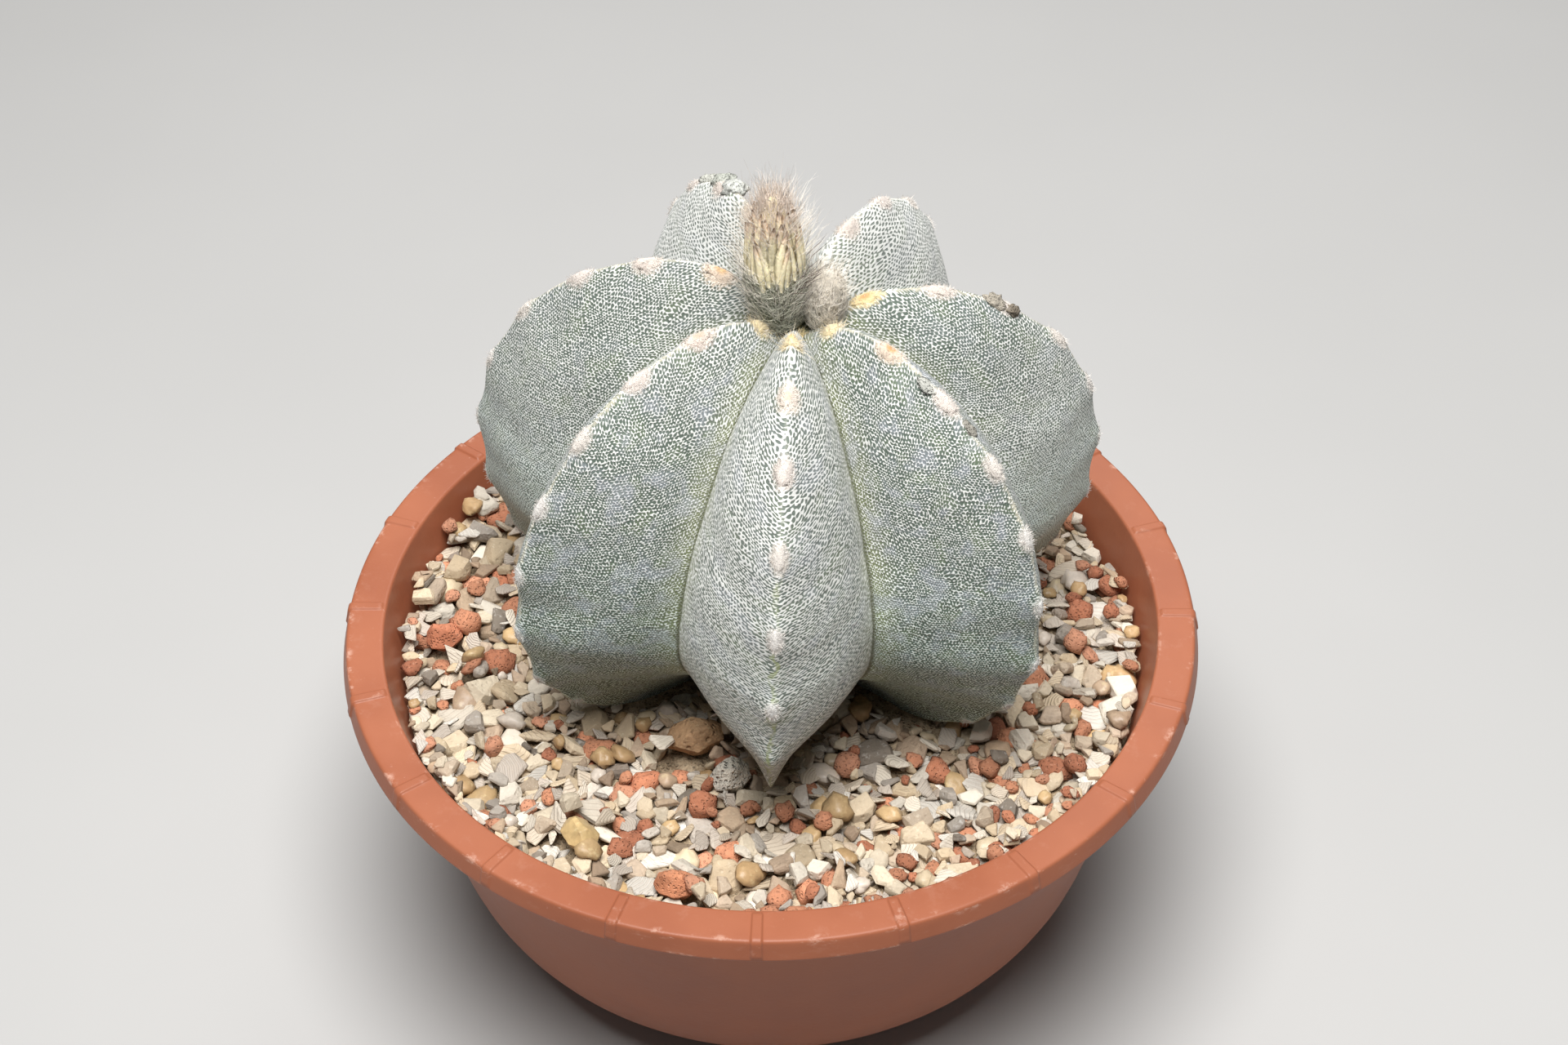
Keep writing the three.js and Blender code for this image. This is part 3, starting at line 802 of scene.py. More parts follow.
@dataclass(frozen=True)
class BowlFinish(Finish):
    """Moulded terracotta-coloured plastic with a soft sheen, scuffed along its edges."""

    name: str = "moulded_plastic"
    colour: Colour = srgb(159, 96, 69)
    deep: Colour = srgb(146, 85, 60)
    chalk: Colour = srgb(204, 166, 148)
    constants = {"Specular IOR Level": 0.24}

    def draw(self, pen: Pen) -> Inputs:
        """Slight clouding, mineral specks, and chalky wear where the edge attribute is high.

        Args:
            pen: The pen of the node tree.

        Returns:
            The shader's inputs, by name.
        """
        place = pen.place()
        cloud = pen.noise(place, 28.0, 4.0, 0.6)
        colour = pen.mix(pen.step(cloud, 0.3, 0.7), self.deep, self.colour)
        streak = pen.noise(pen.vector("MULTIPLY", {0: place, 1: (1.0, 1.0, 3.0)}), 190.0, 5.0, 0.75)
        scuffs = pen.times(pen.step(streak, 0.54, 0.68), pen.attribute("edge"), 0.6)
        specks = pen.times(pen.step(pen.noise(place, 620.0, 3.0, 0.75), 0.68, 0.76),
                           pen.step(pen.noise(place, 45.0, 2.0), 0.42, 0.62), 0.35)
        chalky = pen.math("MAXIMUM", scuffs, specks)
        height = pen.plus(pen.times(pen.noise(place, 1500.0, 2.0, 0.6), 0.3), pen.noise(place, 160.0, 3.0, 0.6))
        rough = pen.plus(pen.step(cloud, 0.3, 0.7, 0.36, 0.46), pen.times(chalky, 0.35))
        return {"Base Color": pen.mix(chalky, colour, self.chalk), "Roughness": rough,
                "Normal": pen.bump(height, 0.00012, 0.5)}


@dataclass(frozen=True)
class SoilFinish(Finish):
    """Damp crumbly soil and the dust between the stones."""

    name: str
    dark: Colour
    light: Colour
    scale: float = 600.0
    constants = {"Specular IOR Level": 0.2, "Roughness": 0.95}

    def draw(self, pen: Pen) -> Inputs:
        """Crumbs in two tones.

        Args:
            pen: The pen of the node tree.

        Returns:
            The shader's inputs, by name.
        """
        grain = pen.effect(GRAIN, Place=pen.place(), Scale=self.scale, Pits=0.6)
        colour = pen.mix(pen.step(grain["Tone"], 0.35, 0.65), self.dark, self.light)
        return {"Base Color": colour, "Normal": pen.bump(grain["Height"], 0.0006)}


@dataclass(frozen=True)
class FloorFinish(Finish):
    """Plain pale floor."""

    name: str = "studio_floor"
    constants = {"Roughness": 0.85, "Specular IOR Level": 0.2}

    def draw(self, pen: Pen) -> Inputs:
        """Pale grey with the faintest mottling."""
        tone = pen.noise(pen.place(), 9.0, 3.0)
        return {"Base Color": pen.mix(tone, srgb(174, 173, 171), srgb(181, 180, 178))}


# Stem


@dataclass(frozen=True)
class Rib:
    """One rib: its turn off the even star, its reach and height, and its first cushion's elevation."""

    turn: float
    reach: float
    height: float
    first: float


RIBS = (
    Rib(0.4, 1.0, 1.0, 73.5), Rib(-1.7, 1.0, 0.973, 79.5), Rib(0.3, 0.986, 0.959, 75.5),
    Rib(-0.7, 1.0, 1.014, 83.0), Rib(2.2, 1.01, 1.051, 71.0), Rib(-0.4, 1.016, 1.009, 75.0),
    Rib(-0.2, 0.98, 0.996, 81.0),
)
FRONT, RIGHT, RIGHT_BACK, BACK_RIGHT, BACK_LEFT, LEFT_BACK, LEFT = range(len(RIBS))


@dataclass(frozen=True)
class Outline:
    """A smooth curve of distance against falling elevation, as in the CAD model."""

    points: tuple[Pair, ...]

    def at(self, elevation: Array) -> Array:
        """Distances from the hub at elevations in degrees.

        Args:
            elevation: Elevations from the hub, in degrees.

        Returns:
            The distances.
        """
        x, y = np.array(self.points, float).T
        last = len(x) - 1
        e = np.atleast_1d(np.asarray(elevation, float))
        i = 1 + (x[1:last, None] > e[None]).sum(0)
        p0, p1, p2, p3 = (np.clip(i + k, 0, last) for k in (-2, -1, 0, 1))
        span = x[p1] - x[p2]
        t = np.clip((x[p1] - e) / span, 0, 1)
        slope1 = (y[p2] - y[p0]) / (x[p0] - x[p2]) * span
        slope2 = (y[p3] - y[p1]) / (x[p1] - x[p3]) * span
        return ((2 * t ** 3 - 3 * t ** 2 + 1) * y[p1] + (t ** 3 - 2 * t ** 2 + t) * slope1
                + (3 * t ** 2 - 2 * t ** 3) * y[p2] + (t ** 3 - t ** 2) * slope2)


CREST = Outline(((86, 40.8), (74, 49.8), (62, 53.6), (50, 56.0), (35, 58.3), (20, 59.1), (5, 58.4),
                 (-10, 57.4), (-25, 54.4), (-34, 51.5), (-42, 48.7), (-50, 45.4), (-60, 41.6), (-72, 39.5)))
GROOVE = Outline(((86, 39.4), (75, 39.3), (60, 38.2), (45, 37.1), (28, 36.8), (10, 38.1), (-8, 38.9),
                  (-22, 37.2), (-36, 33.6), (-50, 31.2), (-62, 31.0), (-72, 33.0)))


@dataclass(frozen=True)
class StemForm:
    """The seven-ribbed star of the CAD model, in millimetres and degrees."""

    rim_top: float = 70.0
    hub: float = 24.0
    foot: Triple = (2.0, 4.2, 62.0)
    crown: Triple = (5.0, 3.9, 134.0)
    heart: Triple = (2.0, 4.0, 94.0)
    front: float = -91.5
    spacing: float = 13.7
    scallop_depth: float = 0.7

    def point(self, radius: Array, azimuth: Array | float, over: Array | float) -> Array:
        """Points round the leaning axis.

        Args:
            radius: Distances from the axis.
            azimuth: Azimuths, in radians.
            over: Heights over the rim.

        Returns:
            Points.
        """
        z = self.rim_top + np.asarray(over, float)
        lean = np.maximum(0, (z - self.foot[2]) / (self.crown[2] - self.foot[2]))
        x = self.foot[0] + (self.crown[0] - self.foot[0]) * lean + radius * np.cos(azimuth)
        y = self.foot[1] + (self.crown[1] - self.foot[1]) * lean + radius * np.sin(azimuth)
        return np.stack(np.broadcast_arrays(x, y, z), axis=-1)

    def azimuth(self, rib: int) -> float:
        """Azimuth of a rib, in radians."""
        return math.radians(self.front + rib * 360 / len(RIBS) + RIBS[rib].turn)

    def scallop(self, rib: int, elevation: Array) -> Array:
        """How far a crest is notched in between its cushions.

        Args:
            rib: The rib's number.
            elevation: Elevations from the hub, in degrees.

        Returns:
            Distances, 0 or less.
        """
        phase = TURN * (RIBS[rib].first - elevation) / self.spacing
        share = smooth(-elevation, -60, 10) * smooth(elevation, -40, -22)
        return self.scallop_depth * share * (np.cos(phase) - 1) / 2

    def crest(self, rib: int, elevation: Array, raised: float = 0.0) -> Array:
        """Points on a rib's crest.

        Args:
            rib: The rib's number.
            elevation: Elevations from the hub.
            raised: How far they stand out.

        Returns:
            Points.
        """
        shape, angle = RIBS[rib], np.radians(elevation)
        reach = shape.reach * (CREST.at(elevation) + self.scallop(rib, elevation)) + raised
        over = (self.hub + reach * np.sin(angle)) * shape.height
        return self.point(reach * np.cos(angle), self.azimuth(rib), over)

    def groove(self, rib: int, side: int, elevation: Array) -> Array:
        """Points in the groove on one side of a rib, side being -1 or 1.

        Args:
            rib: The rib's number.
            side: Which side.
            elevation: Elevations from the hub, in degrees.

        Returns:
            The points.
        """
        here, other = self.azimuth(rib), self.azimuth((rib + side) % len(RIBS))
        turn = math.atan2(math.sin(other - here), math.cos(other - here))
        angle, reach = np.radians(elevation), GROOVE.at(elevation)
        return self.point(reach * np.cos(angle), here + turn / 2, self.hub + reach * np.sin(angle))

    def cushions(self, rib: int, lowest: float) -> Array:
        """Elevations of a rib's cushions, from the top down to the lowest."""
        return np.arange(RIBS[rib].first, lowest, -self.spacing)

    def seat(self, rib: int, elevation: float, raised: float) -> tuple[Array, Array]:
        """A place on a crest, and the directions along, across and out of it.

        Args:
            rib: The rib's number.
            elevation: Elevation from the hub.
            raised: How far it stands out.

        Returns:
            The place, and the directions as rows.
        """
        azimuth = self.azimuth(rib)
        across = np.array([-math.sin(azimuth), math.cos(azimuth), 0.0])
        near = self.crest(rib, np.array([elevation + 1, elevation, elevation - 1]), raised)
        along = unit(near[0] - near[2])
        out = unit(np.cross(across, along))
        out = out if out @ (near[1] - self.heart) > 0 else -out
        return near[1], np.stack([along, across, out])


FORM = StemForm()


@dataclass
class Stem:
    """The stem's skin with its buried neck and taproot."""

    columns: int = 18
    rows: tuple[tuple[float, float, int], ...] = ((87.0, -42.0, 246), (-42.0, -72.0, 36))
    bulge: float = 2.2
    swell_ends: Pair = (-26.0, 0.0)
    pinch: float = 1.4
    pinch_grows: Pair = (-2.0, -28.0)
    full_bulge: float = 34.0
    edge: float = 0.75
    edge_slope: float = 0.78
    mound: float = 0.4
    mound_half: float = 4.2
    mound_width: float = 2.1
    taproot: tuple[Pair, ...] = ((15.0, -11.5), (10.6, -17.0), (7.0, -34.0), (2.6, -46.0))
    tip: float = -48.5
    # one number a rib, in the order of RIBS
    fleck_stretch: tuple[float, ...] = (0.5, 1, 1, 0.5, 0.5, 1, 1)
    front_felt: tuple[float, ...] = (0.53, 0, 0, 0, 0, 0, 0)
    # paler felt on the back ribs and low on the side-back ribs: partly real felt, partly painted light
    back_felt_and_light: tuple[float, ...] = (0, 0, 0, 0.57, 0.57, 0, 0)
    low_felt_and_light: tuple[float, ...] = (0, 0, 1.0, 0, 0, 0.6, 0)
    crown_felt: tuple[float, ...] = (0.04, 0.04, 0.04, 0.04, 0.04, 0.27, 0.27)
    # depth: how strongly each rib's low flank gets the painted shade
    depth: tuple[float, ...] = (0.2, 0.5, 0.5, 0.5, 0.5, 0.5, 0.5)
    violet: tuple[float, ...] = (0.6, 1.0, 0.35, 0.35, 0.35, 0.35, 1.0)
    line: tuple[float, ...] = (0.15, 0.85, 0.85, 0.85, 0.85, 0.85, 0.85)

    def elevations(self) -> Array:
        """Elevations of the rows, from the crown down."""
        parts = [np.linspace(start, end, count, endpoint=False) for start, end, count in self.rows]
        return np.append(np.concatenate(parts), self.rows[-1][1])

    def spread(self) -> Array:
        """Places of the columns between crest and groove, closer together at both."""
        x = np.arange(1, self.columns) / self.columns
        return x - 0.72 * np.sin(TURN * x) / TURN

    def mounds(self, rib: int, elevation: Array) -> Array:
        """How near each elevation is to a cushion of the rib, from 0 to 1."""
        off = np.abs(elevation[:, None] - FORM.cushions(rib, -24.0)[None]).min(1)
        return 0.5 + 0.5 * np.cos(math.pi * np.clip(off / self.mound_half, 0, 1))

    def rib_columns(self, rib: int, elevation: Array) -> tuple[Array, Array, Array]:
        """The columns of one rib, from beyond one groove to the next groove.

        Args:
            rib: The rib's number.
            elevation: Elevations of the rows.

        Returns:
            Points as rows by columns, distance from the crest, and distance from the groove.
        """
        spread = self.spread()
        crest = FORM.crest(rib, elevation)
        sides = {side: FORM.groove(rib, side, elevation) for side in (-1, 1)}
        inward = unit((sides[-1] + sides[1]) / 2 - crest)
        mound = self.mounds(rib, elevation)
        points, off_crest, off_groove = [], [], []
        for side, shares in ((-1, spread[::-1]), (0, np.zeros(1)), (1, np.append(spread, 1.0))):
            groove = sides[side or 1]
            width = np.linalg.norm(groove - crest, axis=-1)
            for share in shares:
                across = share * width * 0.8
                sink = self.edge_slope * (np.hypot(across, self.edge) - across - 0.35 * self.edge)
                rise = self.mound * mound * np.exp(-((across / self.mound_width) ** 2))
                fade = np.minimum(1, width / 10) * (1 - smooth(share, 0.5, 1.0))
                points.append(crest + share * (groove - crest) + inward * ((sink - rise) * fade)[:, None])
                off_crest.append(share * width)
                off_groove.append((1 - share) * width)
        return np.stack(points, 1), np.stack(off_crest, 1), np.stack(off_groove, 1)

    def surface(self) -> tuple[Array, Array, Array]:
        """The whole skin above the taproot.

        Returns:
            Points, and distances from crest and groove, all as rows by columns.
        """
        elevation = self.elevations()
        found = [self.rib_columns(rib, elevation) for rib in range(len(RIBS))]
        points, off_crest, off_groove = (np.concatenate(parts, axis=1) for parts in zip(*found))

        def normals(grid: Array) -> Array:
            """Outward directions at the points of a grid."""
            across = np.roll(grid, -1, axis=1) - np.roll(grid, 1, axis=1)
            return unit(np.cross(np.gradient(grid, axis=0), across))

        share = off_crest / np.maximum(off_crest + off_groove, 1e-6)
        out = np.hypot(points[..., 0] - FORM.foot[0], points[..., 1] - FORM.foot[1]) / self.full_bulge
        swell = (self.bulge * smooth(elevation, *self.swell_ends)
                 - self.pinch * smooth(elevation, *self.pinch_grows))
        bow = swell[:, None] * 4 * share * (1 - share) * np.minimum(1, out)
        points = points + normals(points) * bow[..., None]
        flat = points.reshape(-1, 3)
        relief = (0.34 * lumps(flat, 13.0) + 0.12 * lumps(flat, 4.5, 9.0)).reshape(points.shape[:2])
        return points + normals(points) * relief[..., None], off_crest, off_groove

    def skin_map(self, points: Array, quads: Faces) -> Array:
        """Places of the faces' corners on a flat map in millimetres: along the flank, and up.

        Args:
            points: Points as rows by columns.
            quads: The faces, row by row.

        Returns:
            Four places a face.
        """
        wide = 2 * self.columns
        column = quads[:, 0] % (wide * len(RIBS))
        rib, local = column // wide, column % wide
        rib = np.where(local == wide - 1, (rib + 1) % len(RIBS), rib)
        side = np.where((local == wide - 1) | (local < self.columns - 1), -1, 1)
        level = np.array([20.0])
        ways = {}
        for number in range(len(RIBS)):
            for way in (-1, 1):
                across = (FORM.crest(number, level) - FORM.groove(number, way, level))[0, :2]
                ways[number, way] = across / np.linalg.norm(across)
        direction = np.array([ways[r, s] for r, s in zip(rib.tolist(), side.tolist())])
        corner = points.reshape(-1, 3)[quads]
        stretch = np.array(self.fleck_stretch)[rib]
        u = (corner[..., :2] * direction[:, None]).sum(-1) * stretch[:, None] + (rib * 211 + side * 57)[:, None]
        return np.stack([u, corner[..., 2]], axis=-1)

    def build(self) -> Piece:
        """Makes the skin and fits it in place of the CAD stem.

        Returns:
            The piece.
        """
        points, off_crest, off_groove = self.surface()
        rows, columns, _ = points.shape
        azimuth = math.radians(FORM.front) + TURN * (np.arange(columns) - self.columns + 1) / columns
        root = [FORM.point(np.full(columns, radius), azimuth, over) for radius, over in self.taproot]
        quads = grid_faces(rows, columns)
        corners = self.skin_map(points, quads)
        values = {"crest": off_crest, "groove": off_groove, **self.zones(off_crest)}
        values = {key: self.padded(data, len(root)) for key, data in values.items()}
        grid = np.concatenate([points, np.stack(root)])
        values |= self.pads(grid.reshape(-1, 3))
        total = rows + len(root)
        ends = np.stack([FORM.point(np.zeros(1), 0, FORM.hub + GROOVE.at(86.0))[0],
                         FORM.point(np.zeros(1), 0, self.tip)[0]])
        lower = grid_faces(total, columns)[(rows - 1) * columns:]
        last = np.arange((total - 1) * columns, total * columns)
        faces = np.concatenate([triangles(quads), triangles(lower), fan(total * columns, np.arange(columns)),
                                fan(total * columns + 1, last, True)])
        flat_map = np.concatenate([corners[:, [0, 1, 2]], corners[:, [0, 2, 3]]]).reshape(-1, 2)
        flat_map = np.concatenate([flat_map, np.zeros((3 * len(faces) - len(flat_map), 2))])
        piece = piece_of("cactus_stem", np.concatenate([grid.reshape(-1, 3), ends]), faces, values, flat_map)
        return fit(piece, SkinFinish(), "cactus_skin", "cactus")

    def zones(self, off_crest: Array) -> dict[str, Array]:
        """Where the skin is felted (partly painted light), violet, has a pale crest line, or gets painted shade low
        on its flanks.

        Args:
            off_crest: Distances from the crest, as rows by columns.

        Returns:
            Numbers from 0 to 1, by name; "thread" is the signed distance from the front rib's crest.
        """
        rows, columns = off_crest.shape
        elevation = np.repeat(self.elevations()[:, None], columns, 1)
        rib = (np.arange(columns) // (2 * self.columns))[None]
        front, back, second, crown, depth, violet, line = (np.array(numbers)[rib] for numbers in (
            self.front_felt, self.back_felt_and_light, self.low_felt_and_light, self.crown_felt, self.depth, self.violet, self.line))
        low, top = smooth(elevation, 62, -20), smooth(elevation, 90, 70)
        side = np.sign(np.arange(columns) % (2 * self.columns) - self.columns + 1)
        near = np.stack([self.mounds(r, elevation[:, 0]) for r in range(len(RIBS))], 1)
        return {
            # the back and low parts of this paling are partly painted light
            "felt": np.clip(smooth(elevation, 40, 66) * crown + front * top + 1.6 * back + second * low, 0, 1),
            "dashed": np.clip(0.1 + 0.35 * low + 1.1 * front * top + 0.45 * back, 0, 1),
            # painted shade, stronger towards the bottom of the flanks
            "deep": smooth(elevation, 35, -30) * depth,
            "crest_line": (1 - 0.6 * np.repeat(near, 2 * self.columns, axis=1)) * line,
            "thread": np.where(rib == FRONT, side * off_crest, 9.0),
            "threaded": smooth(elevation, 40, 12),
            "violet": np.broadcast_to(violet, (rows, columns)),
        }

    def pads(self, points: Array) -> dict[str, Array]:
        """Distance of each point from the nearest cushion, in cushion widths, and that cushion's colour.

        Args:
            points: Points in the CAD frame.

        Returns:
            The two values, by name.
        """
        pad, tint = np.full(len(points) + 2, 3.0), np.zeros((len(points) + 2, 3))
        for cushion in Cushions().places():
            off = (points - cushion.middle) @ cushion.axes.T
            away = np.hypot(off[:, 0] / cushion.half[0], off[:, 1] / cushion.half[1])
            away = np.where(np.abs(off[:, 2]) < 5, away, 3)
            nearer = np.flatnonzero(away < pad[:-2])
            pad[nearer], tint[nearer] = away[nearer], cushion.colour
        return {"pad": pad, "pad_tint": tint}

    def padded(self, data: Array, more: int) -> Array:
        """Numbers for the taproot's rings and the two end points added after the skin's own."""
        tail = np.repeat(data[-1:], more, axis=0)
        return np.append(np.concatenate([data, tail]).ravel(), [data[0, 0], data[-1, 0]])


@dataclass(frozen=True)
class Cushion:
    """A woolly cushion: its place, its directions along, across and out of the crest, size and colours."""

    middle: Array
    axes: Array
    half: Triple
    colour: Array
    heart: Array
    loose: float


@dataclass
class Cushions:
    """Woolly cushions along the crests, with short hair."""

    skin: BVHTree | None = None
    lowest: float = -37.0
    front_lowest: float = -2.0
    # painted light: how much lighter the front rib's cushions are coloured
    front_painted_light: float = 1.06
    tufts: int = 5
    halves: tuple[float, ...] = (2.35, 2.35, 2.2, 2.0, 1.8, 1.6, 1.45, 1.3, 1.2)
    colours: tuple[Colour, ...] = (
        srgb(214, 194, 170), srgb(216, 203, 192), srgb(214, 203, 194), srgb(216, 208, 199),
        srgb(219, 214, 208), srgb(220, 218, 213), srgb(218, 217, 213), srgb(210, 210, 205), srgb(204, 206, 200))
    yellow: Colour = srgb(226, 204, 154)
    straw: Colour = srgb(230, 212, 170)
    tip: Colour = srgb(228, 221, 212)
    pink: Colour = srgb(220, 200, 180)
    orange: Colour = srgb(200, 150, 96)

    def places(self) -> list[Cushion]:
        """Every cushion, rib by rib from the top.

        Returns:
            The cushions.
        """
        hearts = {(RIGHT, 0): (self.straw, self.straw), (RIGHT, 1): (self.pink, self.orange),
                  (RIGHT_BACK, 0): (self.yellow, self.orange), (FRONT, 0): (self.straw, srgb(224, 184, 122)),
                  (FRONT, 1): (srgb(226, 212, 198), srgb(220, 190, 166)),
                  (LEFT_BACK, 0): (self.pink, srgb(212, 172, 122)), (LEFT, 0): (self.straw, self.straw),
                  (LEFT, 1): (srgb(222, 206, 194), srgb(206, 180, 158)), (BACK_RIGHT, 0): (self.pink, self.pink)}
        found = []
        for rib in range(len(RIBS)):
            # painted light: cushions on the front rib get lighter copies of their colours
            lowest, light = (self.front_lowest, self.front_painted_light) if rib == FRONT else (self.lowest, 1.0)
            for order, elevation in enumerate(FORM.cushions(rib, lowest)):
                middle, axes = FORM.seat(rib, elevation, 0.12)
                size = self.halves[min(order, len(self.halves) - 1)]
                usual = self.colours[min(order, len(self.colours) - 1)]
                colour, heart = hearts.get((rib, order), (usual, usual))
                loose = 1.0 if order == 0 and rib in (FRONT, LEFT, RIGHT) else 0.0
                half = (size * (1.05 - 0.25 * loose), size * 0.62, (0.2 + 0.3 * loose) * size ** 0.5)
                found.append(Cushion(middle, axes, half, np.array(colour) * light, np.array(heart) * light, loose))
        return found

    def laid(self, cushion: Cushion, local: Array) -> Array:
        """Points given along, across and over a cushion's ground, laid on the skin there.

        Args:
            cushion: The cushion.
            local: The points, the last number being the height over the skin.

        Returns:
            Points.
        """
        start_over, reach, missed = 6, 14.0, -1.5
        down = Vector(-cushion.axes[2])
        found = local.copy()
        starts = cushion.middle + (local * [1, 1, 0] + [0, 0, start_over]) @ cushion.axes
        for number, start in enumerate(starts.tolist()):
            hit = self.skin.ray_cast(Vector(start), down, reach)
            found[number, 2] += start_over - hit[3] if hit[0] else missed
        return cushion.middle + found @ cushion.axes

    def build(self) -> None:
        """Makes the cushions' wool and hair."""
        random = np.random.default_rng(SEED + 11)
        wool, hair, tip = Heap(), Heap(), np.array(self.tip)
        points, faces = ball(9, 18)
        crumb, crumb_faces = ball(5, 8)
        for number, cushion in enumerate(self.places()):
            swell = 1 + 0.3 * lumps(points, 0.8, number * 3.1) + 0.15 * lumps(points, 0.3, number * 1.7)
            local = points * cushion.half * swell[:, None]
            middle = np.hypot(points[:, 0], points[:, 1])
            local[:, 2] -= 0.14 * np.exp(-(middle / 0.35) ** 2) * (points[:, 2] > 0)
            rim = smooth(middle, 0.2, 0.6)[:, None]
            tint = cushion.heart * (1 - rim) + cushion.colour * rim
            tint = tint * (1 + 0.06 * random.normal(size=(len(points), 1)))
            wool.add(self.laid(cushion, local - [0, 0, 0.05]), faces, tint=tint)
            for _ in range(self.tufts):
                turn, far = random.uniform(0, TURN), random.uniform(0.7, 1.1)
                spot = np.array([math.cos(turn), math.sin(turn), 0.0]) * far * cushion.half - [0, 0, 0.1]
                size = random.uniform(0.2, 0.4) * cushion.half[1] * np.array([1.3, 1.0, 0.45])
                bits = crumb * size * (1 + 0.4 * lumps(crumb, 0.6, random.uniform(0, 40)))[:, None] + spot
                paler = cushion.colour * 0.75 + tip * 0.25
                wool.add(self.laid(cushion, bits), crumb_faces, tint=paler * random.uniform(0.9, 1.04))
            count = int(100 * cushion.half[0])
            way = unit(random.normal(size=(count, 3)) * [1, 1, 0.45] + [0, 0, 0.4])
            reach = random.uniform(0.7, 1.3, (count, 1))
            root = self.laid(cushion, way * cushion.half * reach * [1, 1, 0.6] - [0, 0, 0.1])
            lean = unit(way * [1.0, 1.0, 0.5 + 0.8 * cushion.loose] + random.normal(size=(count, 3)) * 0.4)
            length = random.uniform(0.25, 0.7, count) * (1 + 1.2 * cushion.loose)
            path = bent(root, lean @ cushion.axes, length, 0.4, random, 2)
            share = random.uniform(0, 1, (count, 1))
            shade = (cushion.colour * (1 - share) + tip * share) * random.uniform(0.9, 1.1, (count, 1))
            hair.add(*tubes(path, 0.045, 0.4), tint=shades(shade, 2))
        for heap, finish in ((wool, TintFinish("cushion_wool", 1500.0, 0.16, 0.0004, 0.95, 0.2)),
                             (hair, TintFinish("cushion_hair", 900.0, 0.1, 0.0, 0.8, 0.15))):
            fit(heap.piece(finish.name), finish, "bud_wool")


@dataclass
class Scabs:
    """Grey corky lumps on the crests."""

    # rib, elevation, sideways shift, half sizes, colour
    spots: tuple[tuple[int, float, float, Triple, Colour], ...] = (
        (BACK_LEFT, 60.0, -1.0, (3.2, 2.0, 1.4), srgb(196, 197, 190)),
        (BACK_LEFT, 53.5, -1.4, (2.6, 2.2, 1.4), srgb(178, 180, 170)),
        (BACK_LEFT, 47.0, -1.2, (2.8, 1.9, 1.2), srgb(188, 188, 178)),
        (RIGHT_BACK, 50.0, 0.2, (2.4, 1.7, 1.1), srgb(166, 158, 144)),
        (RIGHT_BACK, 46.5, -0.5, (1.6, 1.3, 0.9), srgb(128, 118, 104)),
        (RIGHT, 56.5, -0.7, (1.9, 1.1, 0.35), srgb(176, 176, 168)),
        (RIGHT, 46.0, 0.3, (1.6, 0.8, 0.35), srgb(150, 146, 136)),
    )

    def build(self) -> None:
        """Makes the lumps."""
        heap = Heap()
        points, faces = ball(11, 18)
        for number, (rib, elevation, shift, half, colour) in enumerate(self.spots):
            middle, axes = FORM.seat(rib, elevation, -0.5)
            rough = 1 + 0.42 * lumps(points, 0.5, number * 2.3) + 0.26 * lumps(points, 0.2, number * 5.1)
            tint = np.array(colour) * (1 + 0.3 * lumps(points, 0.3, number * 1.3))[:, None]
            heap.add(middle + axes[1] * shift + points * half * rough[:, None] @ axes, faces, tint=tint)
        fit(heap.piece("corky_scabs"), TintFinish("corky_scab", 900.0, 0.3, 0.0006, 0.85, 0.0, 0.6), "cactus_skin")


# Flower buds


